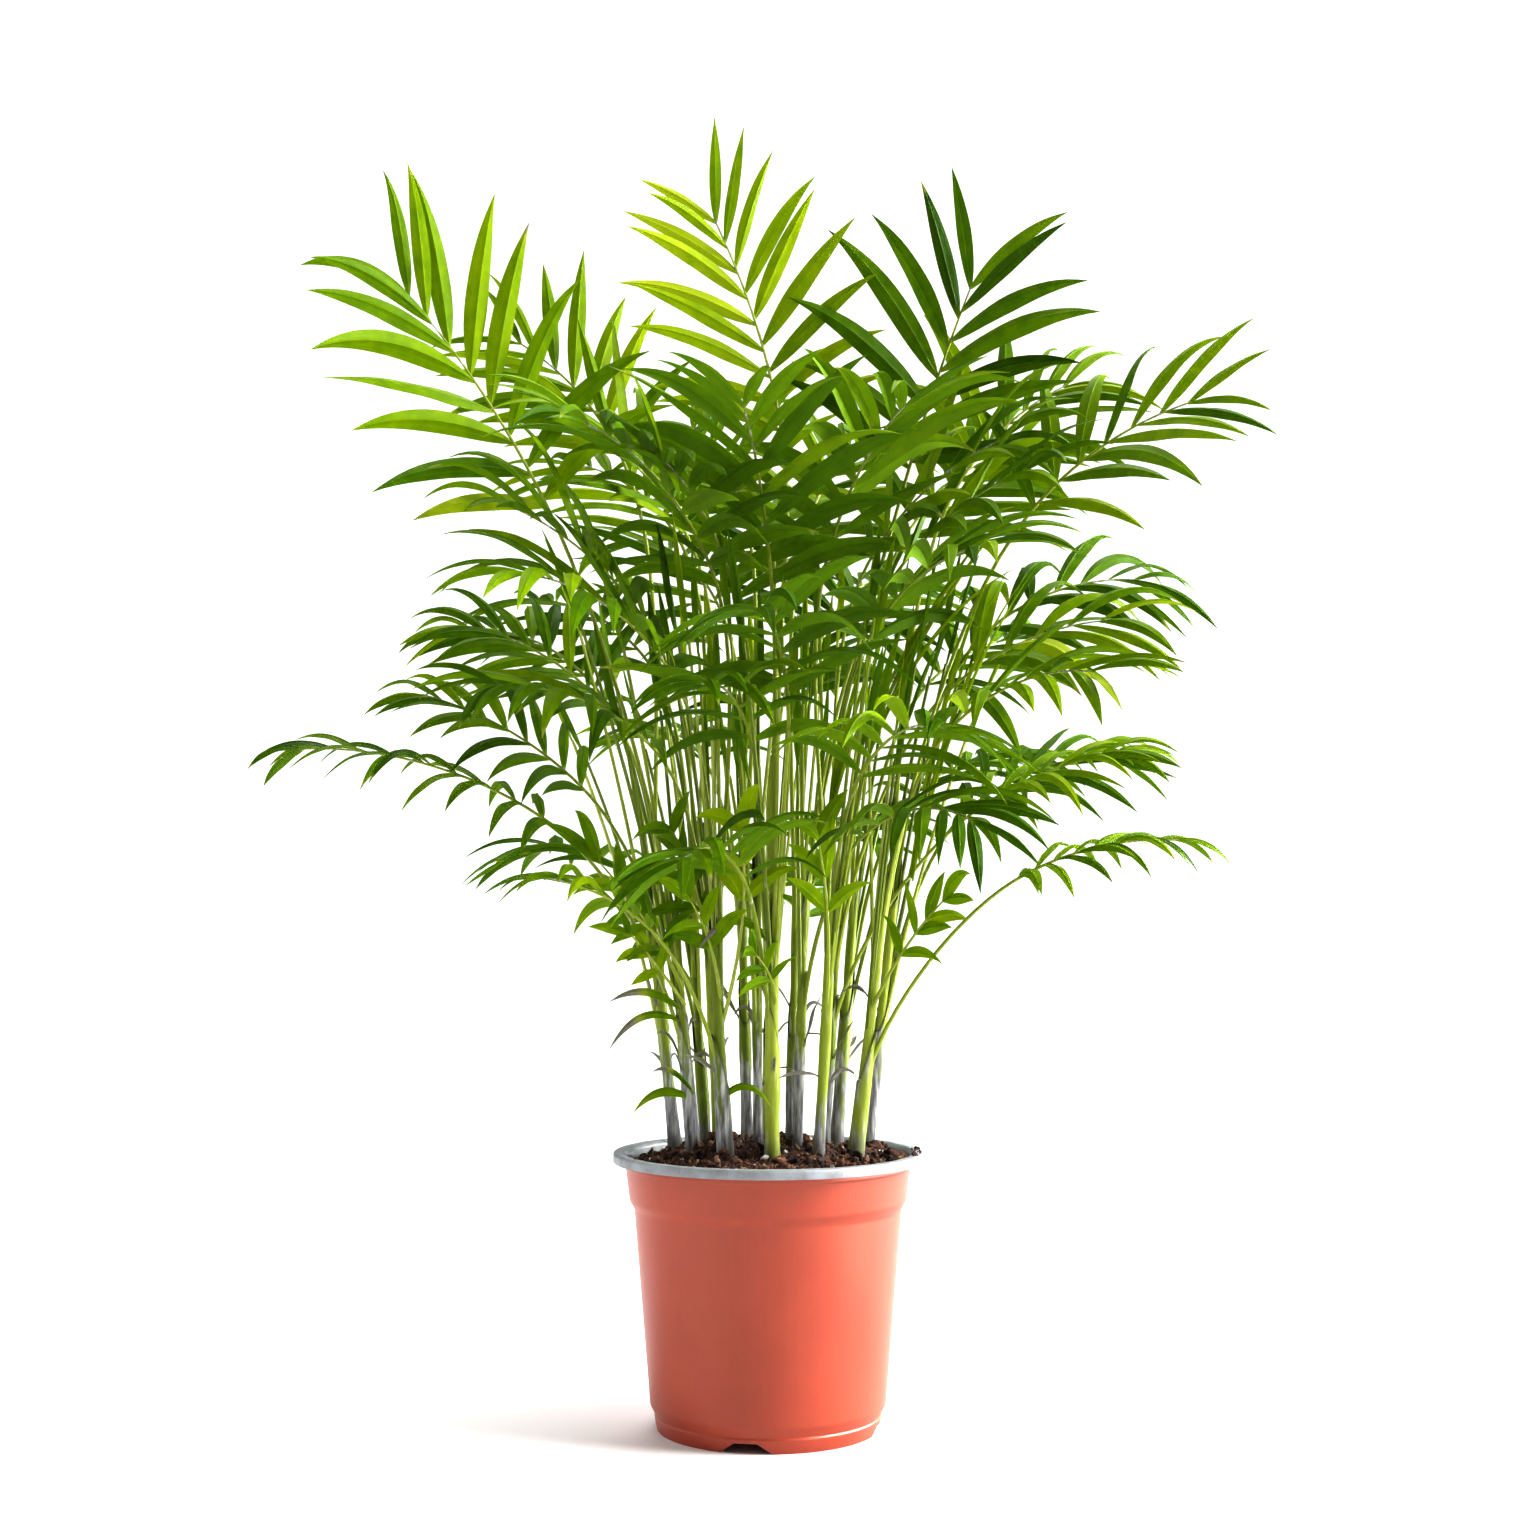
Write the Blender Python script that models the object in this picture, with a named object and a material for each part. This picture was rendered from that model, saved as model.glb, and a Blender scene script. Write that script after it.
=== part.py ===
"""A clump of young parlor palms in a round plastic nursery pot.

Each palm is one node: a stem that stands in a hole in the soil, and three fronds that grow from it.
A frond is a petiole that runs on into a rib, with leaflets on both sides. +Z is up, the front is -Y
and the origin is the centre of the ring that the pot stands on. The tables are in millimetres and
everything else is in metres.
"""

import math
import random

import bmesh
import bpy
from mathutils import Matrix, Vector
from mathutils.bvhtree import BVHTree

MM = 0.001
UP = Vector((0, 0, 1))
GAP = 0.3 * MM
MERGE = 0.01 * MM
SHARP = math.radians(30)
SEED = 17

# Pot: radius and height of each corner of its wall, which is 1 mm thick
TURN_STEPS = 32
POT_OUTSIDE = (
    (79.8, 149.0), (84.3, 149.0), (85.0, 148.2), (85.0, 143.8), (84.0, 143.8), (84.0, 147.9),
    (80.2, 147.9), (78.6, 146.0), (78.2, 140.6), (75.8, 123.0), (73.2, 118.6), (64.3, 13.6),
    (61.6, 8.4), (62.0, 7.2), (60.5, 0.0), (57.0, 0.0), (56.4, 8.0), (0.0, 8.0),
)
POT_INSIDE = (
    (0.0, 9.0), (60.2, 9.0), (63.3, 14.0), (72.2, 119.2), (74.8, 123.4), (77.2, 140.8), (77.6, 147.0),
)
NOTCHES = 4
NOTCH_TURN = math.radians(-101)
NOTCH_FOOT, NOTCH_TOP, NOTCH_HEIGHT = 31 * MM, 12 * MM, 5.5 * MM
NOTCH_FROM, NOTCH_TO, NOTCH_BELOW = 50 * MM, 70 * MM, 1 * MM
DRAIN_RADIUS, DRAIN_RING, DRAIN_SIDES = 5 * MM, 45 * MM, 12
DRAIN_FROM, DRAIN_TO = 6.5 * MM, 10.5 * MM

# Soil: it follows the wall at GAP, is lowest at the rim and heaped round the stems
SOIL_SIDE = ((59.9, 9.3), (71.7, 119.4), (74.2, 123.4), (76.8, 142.5))
SOIL_RINGS = (0.8, 0.56, 0.3)
SOIL_HEAP, SOIL_LUMP = 10.0 * MM, 2.2 * MM

# Stems: foot x, foot y, height of the top. They lean away from the middle of the pot.
STEMS = (
    (-38, -15, 246), (-21, -35, 232), (2, -41, 240), (25, -35, 236), (44, -21, 228), (-48, 9, 240),
    (-25, -8, 258), (-5, -14, 270), (15, -13, 262), (29, 5, 254), (51, 5, 240), (-33, 32, 248),
    (-11, 20, 260), (12, 26, 256), (36, 27, 244), (1, 49, 238),
)
STEM_FOOT_Z = 118
STEM_SIDES = 6
STEM_LEAN = 1.27
STEM_FOOT_RADIUS, STEM_TOP_RADIUS = 4.9 * MM, 3.6 * MM

# Fronds: palm, height of the fork, where the leaflets begin, tip of the rib, leaflet length, how limp
# the leaflets are, and how far the blade is turned about its rib in degrees
FRONDS = (
    (1, 186, (-114, -48, 326), (-246, -62, 366), 56, 1.5, -10),
    (1, 208, (-98, -18, 344), (-188, -26, 398), 60, 1.2, -30),
    (1, 240, (-118, -38, 496), (-194, -52, 612), 102, 0.75, -72),
    (2, 178, (-60, -66, 270), (-112, -92, 298), 56, 1.1, 0),
    (2, 200, (-50, -72, 404), (-118, -146, 446), 86, 1.1, -30),
    (2, 226, (-30, -56, 462), (-90, -140, 522), 92, 0.9, -20),
    (3, 180, (-12, -86, 296), (-40, -178, 306), 76, 1.3, 15),
    (3, 206, (10, -88, 392), (-6, -194, 422), 84, 1.1, 10),
    (3, 234, (2, -66, 452), (-12, -156, 528), 94, 0.8, 0),
    (4, 178, (46, -86, 348), (84, -178, 368), 78, 1.3, -10),
    (4, 204, (50, -72, 418), (104, -158, 458), 88, 1.0, 20),
    (4, 230, (30, -52, 462), (68, -136, 532), 92, 0.9, 10),
    (5, 176, (130, -44, 296), (216, -60, 318), 48, 1.5, 10),
    (5, 200, (92, -60, 372), (160, -132, 400), 80, 1.1, 25),
    (5, 222, (142, -38, 496), (226, -56, 552), 88, 0.8, 50),
    (6, 184, (-88, 8, 390), (-170, 16, 440), 72, 1.0, -35),
    (6, 206, (-96, 42, 404), (-172, 98, 448), 76, 1.0, -30),
    (6, 234, (-84, 36, 540), (-146, 54, 612), 82, 0.6, -60),
    (7, 202, (-60, -42, 366), (-138, -98, 396), 76, 1.2, -20),
    (7, 226, (-62, -34, 430), (-132, -84, 490), 88, 1.0, -35),
    (7, 252, (-44, -10, 486), (-108, -32, 550), 88, 0.8, -45),
    (8, 216, (-8, -58, 368), (-32, -150, 392), 80, 1.2, 0),
    (8, 238, (-16, -38, 446), (-52, -126, 506), 88, 0.9, -15),
    (8, 264, (8, 4, 546), (-30, 0, 668), 82, 0.5, -86),
    (9, 206, (48, -54, 318), (100, -136, 326), 76, 1.2, 20),
    (9, 230, (62, -38, 452), (132, -92, 508), 88, 0.9, 35),
    (9, 256, (78, 0, 524), (114, -2, 630), 102, 0.55, 80),
    (10, 200, (104, -22, 328), (190, -36, 366), 62, 1.2, 25),
    (10, 224, (98, -12, 400), (182, -28, 438), 90, 1.3, 40),
    (10, 248, (58, -22, 470), (126, -54, 532), 92, 0.9, 40),
    (11, 188, (112, 24, 336), (196, 36, 368), 68, 1.1, 25),
    (11, 208, (122, 24, 436), (212, 40, 470), 80, 1.1, 35),
    (11, 234, (108, 32, 522), (174, 52, 586), 86, 0.8, 45),
    (12, 190, (-80, 88, 300), (-154, 154, 312), 70, 1.1, 0),
    (12, 214, (-68, 76, 422), (-144, 148, 472), 84, 1.0, -20),
    (12, 242, (-50, 52, 492), (-118, 106, 550), 88, 0.9, -30),
    (13, 204, (-36, 96, 366), (-78, 186, 390), 72, 1.1, 0),
    (13, 230, (-24, 64, 446), (-68, 142, 506), 88, 0.9, -10),
    (13, 254, (-12, 38, 502), (-46, 104, 572), 88, 0.8, -30),
    (14, 202, (32, 98, 318), (68, 186, 332), 74, 1.1, 0),
    (14, 226, (30, 80, 436), (72, 168, 488), 88, 0.9, 15),
    (14, 250, (20, 46, 494), (56, 120, 562), 88, 0.8, 25),
    (15, 190, (84, 80, 346), (160, 150, 370), 70, 1.1, 0),
    (15, 212, (90, 64, 408), (172, 130, 446), 82, 1.0, 20),
    (15, 238, (76, 44, 490), (146, 92, 556), 88, 0.8, 40),
    (16, 186, (-2, 112, 290), (-8, 196, 300), 68, 1.1, 0),
    (16, 208, (8, 98, 398), (22, 194, 438), 84, 1.0, 0),
    (16, 232, (4, 76, 476), (0, 164, 540), 88, 0.8, 5),
)
PETIOLE_HALF, RIB_START_HALF, RIB_TIP_HALF = 1.6 * MM, 1.2 * MM, 0.8 * MM
PETIOLE_STEPS = 5
# Pulls of the petiole's curve at its two ends, and how far it already bends to the rib's direction
PETIOLE_LEAVE, PETIOLE_ARRIVE, TO_RIB = 0.9, 0.8, 1.3
# How much of the upper side looks up, against 1 that looks back to the stem
BLADE_BACK = 0.8
# A blade that is shifted past a neighbour takes its tip along by this share
TIP_SHIFT = 0.6

# Leaflets: fewer than on the plant, at true size
LONG_RIB = 88 * MM
PAIRS_ON_LONG_RIB, PAIRS_ON_SHORT_RIB = 5, 4
ROOT_HALF = 1.6 * MM
BASE_ANGLE, TIP_ANGLE = math.radians(62), math.radians(24)
LEAFLET_LIFT = math.radians(12)
LONGEST_AT, SHORTENING = 0.4, 1.05
WIDTH_SHARE, END_WIDTH_SHARE = 0.13, 0.18
RIDGE = 0.9 * MM
FOLD = 0.1
SAG_POWER = 1.3
# A leaflet's spine is worked out in short steps. Cross-sections: step, and share of the full width
LEAF_STEPS = 12
LEAF_SECTIONS = ((4, 1.0), (8, 0.72))
AT_ROOT, NEAR_ROOT = (0, 0.35), (1, 0.4)
# How far leaflets stray from the rule: angle, lift, share of the length, share of the sag. The stray
# is a sine of the frond's number, the place along the rib, the side and which of the four it is
STRAY = (math.radians(6), math.radians(6), 0.07, 0.25)
STRAY_PHASES = (2.4, 9.0, 1.3, 2.1)
CLEARANCE = 0.8 * MM
# What is tried to clear a neighbour: sideways shifts of a blade, turns and lengths of a leaflet
SHIFTS_MM = (5, 10, 15, 20, 26, 32)
BENDS_DEG, SLIGHTLY_SHORTER = (6, 12, 18), 0.92
SHORT_BEND_DEG, SHORTER = 12, (0.8, 0.65, 0.5)


def vector_mm(*numbers):
    return Vector(numbers) * MM


def material(name, colour, roughness):
    made = bpy.data.materials.new(name)
    made.use_nodes = True
    shader = made.node_tree.nodes["Principled BSDF"]
    shader.inputs["Base Color"].default_value = (*colour, 1)
    shader.inputs["Roughness"].default_value = roughness
    shader.inputs["Metallic"].default_value = 0
    return made


def add_object(name, bm, look):
    """Turns a bmesh into an object of the scene."""
    mesh = bpy.data.meshes.new(name)
    bm.to_mesh(mesh)
    bm.free()
    if look:
        mesh.materials.append(look)
    made = bpy.data.objects.new(name, mesh)
    bpy.context.scene.collection.objects.link(made)
    return made


def hide_cutter(cutter):
    cutter.hide_render = True
    cutter.display_type = "WIRE"
    return cutter


def cut(target, cutter, name):
    modifier = target.modifiers.new(name, "BOOLEAN")
    modifier.operation = "DIFFERENCE"
    modifier.solver = "EXACT"
    modifier.object = cutter


def spin_profile(profile):
    """A bmesh of the profile, pairs of radius and height in millimetres, turned round the Z axis."""
    bm = bmesh.new()
    points = [bm.verts.new(vector_mm(radius, 0, height)) for radius, height in profile]
    edges = [bm.edges.new(pair) for pair in zip(points, points[1:])]
    if profile[0][0] > 0:
        edges.append(bm.edges.new((points[-1], points[0])))
    bmesh.ops.spin(
        bm, geom=points + edges, cent=(0, 0, 0), axis=UP, angle=2 * math.pi, steps=TURN_STEPS
    )
    bmesh.ops.remove_doubles(bm, verts=bm.verts, dist=MERGE)
    bmesh.ops.recalc_face_normals(bm, faces=bm.faces)
    return bm


def add_prism(bm, outline, depth):
    """A prism on a planar outline of points, pushed along the vector depth."""
    face = bm.faces.new([bm.verts.new(point) for point in outline])
    pushed = bmesh.ops.extrude_face_region(bm, geom=[face])["geom"]
    bmesh.ops.translate(
        bm, vec=depth, verts=[item for item in pushed if isinstance(item, bmesh.types.BMVert)]
    )


def notch_spins():
    """A turn about Z for each notch, with the drain hole behind it."""
    for number in range(NOTCHES):
        yield Matrix.Rotation(NOTCH_TURN + number * 2 * math.pi / NOTCHES, 4, "Z")


def build_pot(look):
    """The wall, rolled rim, shoulder, foot ring and raised floor, all one moulding."""
    bm = spin_profile(POT_INSIDE + POT_OUTSIDE)
    pot = add_object("pot", bm, look)
    pot.data.shade_smooth()
    pot.data.set_sharp_from_angle(angle=SHARP)

    notches = bmesh.new()
    outline = (
        (NOTCH_FOOT / 2, -NOTCH_BELOW), (NOTCH_TOP / 2, NOTCH_HEIGHT),
        (-NOTCH_TOP / 2, NOTCH_HEIGHT), (-NOTCH_FOOT / 2, -NOTCH_BELOW),
    )
    for spin in notch_spins():
        corners = [spin @ Vector((NOTCH_FROM, across, height)) for across, height in outline]
        add_prism(notches, corners, spin @ Vector((NOTCH_TO - NOTCH_FROM, 0, 0)))
    bmesh.ops.recalc_face_normals(notches, faces=notches.faces)
    cut(pot, hide_cutter(add_object("notch_cutter", notches, None)), "Foot notches")

    drains = bmesh.new()
    for spin in notch_spins():
        bmesh.ops.create_cone(
            drains, cap_ends=True, segments=DRAIN_SIDES, radius1=DRAIN_RADIUS,
            radius2=DRAIN_RADIUS, depth=DRAIN_TO - DRAIN_FROM,
            matrix=spin @ Matrix.Translation((DRAIN_RING, 0, (DRAIN_FROM + DRAIN_TO) / 2)),
        )
    cut(pot, hide_cutter(add_object("drain_cutter", drains, None)), "Drain holes")
    return pot


def soil_height(x, y, edge_height, edge_radius, lumps):
    """Height of the soil at a place: its level at the rim, a heap in the middle and seeded lumps."""
    away = min(1.0, math.hypot(x, y) / edge_radius)
    heap = SOIL_HEAP * (1 - away**2) ** 1.5
    return edge_height + heap + lumps.uniform(-1, 1) * SOIL_LUMP * (1 - away**4)


def build_soil(look, hole_cutter):
    edge_radius, edge_height = SOIL_SIDE[-1][0] * MM, SOIL_SIDE[-1][1] * MM
    lumps = random.Random(SEED)
    top = [(edge_radius / MM * share, edge_height / MM) for share in SOIL_RINGS]
    profile = ((0.0, SOIL_SIDE[0][1]),) + SOIL_SIDE + tuple(top) + ((0.0, edge_height / MM),)
    bm = spin_profile(profile)
    for vert in sorted(bm.verts, key=lambda v: (round(v.co.length, 6), math.atan2(v.co.y, v.co.x))):
        inside = math.hypot(vert.co.x, vert.co.y) < edge_radius - MM
        if inside and vert.co.z > edge_height - MM:
            vert.co.z = soil_height(vert.co.x, vert.co.y, edge_height, edge_radius, lumps)
    bmesh.ops.triangulate(bm, faces=bm.faces)
    soil = add_object("soil", bm, look)
    cut(soil, hole_cutter, "Stem holes")
    return soil


class Stem:
    """A palm's stem: a straight taper from its foot in the soil to its top."""

    def __init__(self, foot_x, foot_y, top_z):
        self.foot = vector_mm(foot_x, foot_y, STEM_FOOT_Z)
        self.top = vector_mm(foot_x * STEM_LEAN, foot_y * STEM_LEAN, top_z)
        self.axis = (self.top - self.foot).normalized()
        self.side = self.axis.cross(Vector((0, 1, 0))).normalized()

    def middle(self, height):
        return self.foot + self.axis * ((height - self.foot.z) / self.axis.z)

    def ring(self, middle, radius):
        corners = []
        for number in range(STEM_SIDES):
            turn = Matrix.Rotation(number * 2 * math.pi / STEM_SIDES, 3, self.axis)
            corners.append(middle + turn @ self.side * radius)
        return corners

    def rings(self, grow=0.0):
        """Cross-sections at the foot and the top. A cutter grows all round."""
        wide = grow / math.cos(math.pi / STEM_SIDES)
        return [
            self.ring(self.foot - self.axis * grow, STEM_FOOT_RADIUS + wide),
            self.ring(self.top, STEM_TOP_RADIUS + wide),
        ]


def hermite(start, end, leave, arrive, share):
    """Point and direction on a cubic that leaves start and arrives at end with those slopes."""
    s, s2, s3 = share, share**2, share**3
    point = (
        start * (2 * s3 - 3 * s2 + 1) + leave * (s3 - 2 * s2 + s)
        + end * (3 * s2 - 2 * s3) + arrive * (s3 - s2)
    )
    slope = (
        start * (6 * s2 - 6 * s) + leave * (3 * s2 - 4 * s + 1)
        + end * (6 * s - 6 * s2) + arrive * (3 * s2 - 2 * s)
    )
    return point, slope.normalized()


def smooth_step(share):
    return share * share * (3 - 2 * share)


def stray(number, share, side):
    """How far a leaflet strays from the rule in each of the ways in STRAY."""
    by_frond, by_place, by_side, by_way = STRAY_PHASES
    phase = by_frond * number + by_place * share + by_side * side
    return [most * math.sin(phase + by_way * way) for way, most in enumerate(STRAY)]


class Frond:
    """The axis of one frond, from its fork inside the stem to the tip of its rib."""

    def __init__(self, number, row):
        palm, fork, start, tip, leaf, limp, turn = row
        self.number, self.palm = number, palm - 1
        self.stem = stems[self.palm]
        self.foot = self.stem.middle(fork * MM)
        self.start, self.tip = vector_mm(*start), vector_mm(*tip)
        self.leaf, self.limp, self.turn = leaf * MM, limp, math.radians(turn)
        self.pairs = PAIRS_ON_LONG_RIB if self.rib_length() > LONG_RIB else PAIRS_ON_SHORT_RIB
        self.lay_out()

    def rib_length(self):
        return (self.tip - self.start).length

    def lay_out(self):
        rise, chord = self.start - self.foot, self.tip - self.start
        self.outward = Vector((chord.x, chord.y, 0)).normalized()
        through = (rise.normalized() + chord.normalized() * TO_RIB).normalized()
        onward = chord.normalized()
        self.leave = self.stem.axis * rise.length * PETIOLE_LEAVE
        self.through_petiole = through * rise.length * PETIOLE_ARRIVE
        self.through_rib = through * chord.length
        self.arrive = (onward * (2 * through.dot(onward)) - through) * chord.length

    def moved(self, shift):
        """The same frond with its blade shifted, to lead its petiole past a neighbour."""
        other = Frond.__new__(Frond)
        other.__dict__.update(self.__dict__)
        other.start, other.tip = self.start + shift, self.tip + shift * TIP_SHIFT
        other.lay_out()
        return other

    def facing(self, along, turn):
        """Upper side of the blade: square to the axis, turned about it."""
        back = UP * BLADE_BACK - self.outward
        face = (back - along * back.dot(along)).normalized()
        return Matrix.Rotation(turn, 3, along) @ face

    def on_petiole(self, share):
        point, along = hermite(self.foot, self.start, self.leave, self.through_petiole, share)
        return point, along, self.facing(along, self.turn * smooth_step(share))

    def on_rib(self, share):
        point, along = hermite(self.start, self.tip, self.through_rib, self.arrive, share)
        return point, along, self.facing(along, self.turn)

    def pair_share(self, pair):
        """Place of a pair of leaflets as a share of the rib. The last pair ends it."""
        half = ROOT_HALF / self.rib_length()
        return 2 * half + (1 - 3 * half) * pair / (self.pairs - 1)

    def rings(self, grow=0.0):
        """Square cross-sections of the petiole and rib. The rib has two for each pair of leaflets."""
        stations = []
        for step in range(PETIOLE_STEPS + 1):
            share = step / PETIOLE_STEPS
            half = PETIOLE_HALF + (RIB_START_HALF - PETIOLE_HALF) * share
            stations.append((*self.on_petiole(share), half))
        for pair in range(self.pairs):
            for end in (-1, 1):
                share = self.pair_share(pair) + end * ROOT_HALF / self.rib_length()
                half = RIB_START_HALF + (RIB_TIP_HALF - RIB_START_HALF) * share
                stations.append((*self.on_rib(share), half))
        return [square_ring(point, along, face, half + grow) for point, along, face, half in stations]


def square_ring(point, along, face, half):
    across = along.cross(face).normalized()
    return [point + across * half * a + face * half * b for a, b in ((1, 1), (-1, 1), (-1, -1), (1, -1))]


def skin(bm, low, high):
    """Faces between two loops of as many corners, or between a loop and a point."""
    count = len(low)
    for j in range(count):
        k = (j + 1) % count
        bm.faces.new((low[j], low[k], high[k % len(high)]))
        if len(high) > 1:
            bm.faces.new((low[j], high[k], high[j]))


def lofted(rings):
    """A closed bmesh on rings of corners, capped. A last ring of one corner is a point."""
    bm = bmesh.new()
    loops = [[bm.verts.new(corner) for corner in ring] for ring in rings]
    for low, high in zip(loops, loops[1:]):
        skin(bm, low, high)
    for end in (loops[0], loops[-1]):
        if len(end) > 2:
            bm.faces.new(end)
    bmesh.ops.recalc_face_normals(bm, faces=bm.faces)
    return bm


def draw_out(bm, root, rings):
    """A leaflet drawn out of the rib from a four-cornered root, low top corner first."""
    low_top, low_under, high_under, high_top = root
    loops = [[bm.verts.new(corner) for corner in ring] for ring in rings]
    rear, ridge, front = loops[0]
    for corners in (
        (low_top, low_under, rear), (low_under, high_under, front), (low_under, front, rear),
        (high_under, high_top, front), (high_top, ridge, front), (high_top, low_top, ridge),
        (low_top, rear, ridge),
    ):
        bm.faces.new(corners)
    for low, high in zip(loops, loops[1:]):
        skin(bm, low, high)


def frond_solid(frond, leaflets):
    """Petiole and rib with the leaflets, in one closed bmesh. Leaflets are keyed by pair and side."""
    bm = bmesh.new()
    loops = [[bm.verts.new(corner) for corner in ring] for ring in frond.rings()]
    for number, (low, high) in enumerate(zip(loops, loops[1:])):
        pair, between = divmod(number - PETIOLE_STEPS - 1, 2)
        for j in range(4):
            k = (j + 1) % 4
            side = {1: -1, 3: 1}.get(j)
            if between == 0 and (pair, side) in leaflets:
                top, under = (j, k) if side < 0 else (k, j)
                root = (low[top], low[under], high[under], high[top])
                draw_out(bm, root, leaflets[pair, side].rings())
            else:
                bm.faces.new((low[j], low[k], high[k], high[j]))
    bm.faces.new(loops[0])
    bm.faces.new(loops[-1])
    bmesh.ops.triangulate(bm, faces=[face for face in bm.faces if len(face.verts) > 3])
    bmesh.ops.recalc_face_normals(bm, faces=bm.faces)
    return bm


class Leaflet:
    """One leaflet of a frond: it leaves the rib at an angle and bends down under its weight."""

    def __init__(self, frond, pair, side):
        share = frond.pair_share(pair)
        self.root, self.along, self.face = frond.on_rib(share)
        self.side, self.across = side, self.along.cross(self.face).normalized() * side
        swing, lift, lengthen, sag = stray(frond.number, share, side)
        self.angle = BASE_ANGLE + (TIP_ANGLE - BASE_ANGLE) * share + swing
        self.length = frond.leaf * (1 - SHORTENING * (share - LONGEST_AT) ** 2) * (1 + lengthen)
        self.width = self.length * (END_WIDTH_SHARE if pair == frond.pairs - 1 else WIDTH_SHARE)
        self.lift, self.limp = LEAFLET_LIFT + lift, frond.limp * (1 + sag)

    def varied(self, swing, lift, shrink):
        """A copy that is swung and lifted by degrees and shortened, to clear its neighbours."""
        other = Leaflet.__new__(Leaflet)
        other.__dict__.update(self.__dict__)
        other.angle += math.radians(swing)
        other.lift += math.radians(lift)
        other.length *= shrink
        return other

    def spine(self):
        """Point, direction and upper side at each step. The leaflet sags more the further out it is."""
        flat = self.along * math.cos(self.angle) + self.across * math.sin(self.angle)
        heading = flat * math.cos(self.lift) + self.face * math.sin(self.lift)
        point, upper, steps = self.root.copy(), self.face, []
        for step in range(LEAF_STEPS + 1):
            sag = UP * self.limp * (step / LEAF_STEPS) ** SAG_POWER
            here = (heading - sag).normalized()
            upper = (upper - here * upper.dot(here)).normalized()
            steps.append((point.copy(), here, upper))
            point += here * self.length / LEAF_STEPS
        return steps

    def rings(self, *first):
        """Cross-sections with a rear edge, a ridge and a front edge, and then the point."""
        spine = self.spine()
        rings = []
        for step, width_share in first + LEAF_SECTIONS:
            point, here, upper = spine[step]
            aside = here.cross(upper) * self.side * self.width / 2 * width_share
            edge = point - upper * FOLD * self.width * width_share
            rings.append([edge + aside, point + upper * RIDGE, edge - aside])
        return rings + [[spine[LEAF_STEPS][0]]]

    def envelope(self, first):
        """Four-cornered cross-sections that stay CLEARANCE outside the leaflet."""
        spine = self.spine()
        rings = []
        for step, width_share in (first,) + LEAF_SECTIONS + ((LEAF_STEPS, 0),):
            point, here, upper = spine[step]
            aside = here.cross(upper) * (self.width / 2 * width_share + CLEARANCE)
            above = point + upper * (RIDGE + CLEARANCE)
            below = point - upper * (FOLD * self.width * width_share + CLEARANCE)
            rings.append([above + aside, below + aside, below - aside, above - aside])
        return rings


class Neighbours:
    """What is placed so far, by owner, for tests of whether a new piece would cross it."""

    def __init__(self):
        self.placed = []

    @staticmethod
    def tree(rings):
        """Search tree and box of a piece, in millimetres, at which scale the overlap test is sound."""
        rings = [[corner / MM for corner in ring] for ring in rings]
        bm = lofted(rings)
        bmesh.ops.triangulate(bm, faces=bm.faces)
        found = BVHTree.FromBMesh(bm)
        bm.free()
        corners = [corner for ring in rings for corner in ring]
        low = [min(corner[k] for corner in corners) for k in range(3)]
        high = [max(corner[k] for corner in corners) for k in range(3)]
        return found, low, high

    def add(self, owner, rings):
        self.placed.append((owner, *self.tree(rings)))

    def clear(self, rings, own):
        """Whether the piece crosses nothing but pieces whose owner starts with its own."""
        tree, low, high = self.tree(rings)
        for owner, other_tree, other_low, other_high in self.placed:
            apart = any(low[k] > other_high[k] or high[k] < other_low[k] for k in range(3))
            if apart or owner[:len(own)] == own:
                continue
            if tree.overlap(other_tree):
                return False
        return True


def shifts():
    """Sideways shifts to try, nearest first: none, then rings of eight."""
    yield Vector((0, 0, 0))
    for reach in SHIFTS_MM:
        for turn in range(8):
            angle = turn * math.pi / 4
            yield vector_mm(reach * math.cos(angle), reach * math.sin(angle), 0)


def leaflet_changes():
    """Swing, lift and shortening to try, mildest first."""
    yield 0, 0, 1.0
    for bend in BENDS_DEG:
        for swing, lift in ((0, 1), (1, 0), (0, -1), (-1, 0), (1, 1), (-1, -1), (1, -1), (-1, 1)):
            yield swing * bend, lift * bend, 1.0
            yield swing * bend, lift * bend, SLIGHTLY_SHORTER
    for shrink in SHORTER:
        for swing, lift in ((0, 0), (0, 1), (1, 0), (-1, 0), (0, -1)):
            yield swing * SHORT_BEND_DEG, lift * SHORT_BEND_DEG, shrink


def place_fronds(neighbours):
    """Lays out every petiole and rib, leading each past those of other palms."""
    fronds = []
    for number, row in enumerate(FRONDS):
        wanted = Frond(number, row)
        for shift in shifts():
            frond = wanted.moved(shift)
            if neighbours.clear(frond.rings(CLEARANCE), (frond.palm,)):
                break
        else:
            print("Frond", number + 1, "still crosses a neighbour")
        neighbours.add((frond.palm, number, "rib"), frond.rings())
        fronds.append(frond)
    return fronds


def place_leaflets(frond, number, neighbours):
    """Sets leaflets in pairs along the rib, the last pair at its tip, each bent clear or left out."""
    kept, own = {}, (frond.palm, number)
    for pair in range(frond.pairs):
        for side in (-1, 1):
            wanted = Leaflet(frond, pair, side)
            for change in leaflet_changes():
                leaflet = wanted.varied(*change)
                whole, outer = leaflet.envelope(AT_ROOT), leaflet.envelope(NEAR_ROOT)
                if neighbours.clear(whole, own) and neighbours.clear(outer, own + ("rib",)):
                    kept[pair, side] = leaflet
                    neighbours.add(own + ("leaflet",), leaflet.rings(AT_ROOT))
                    break
    return kept


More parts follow.
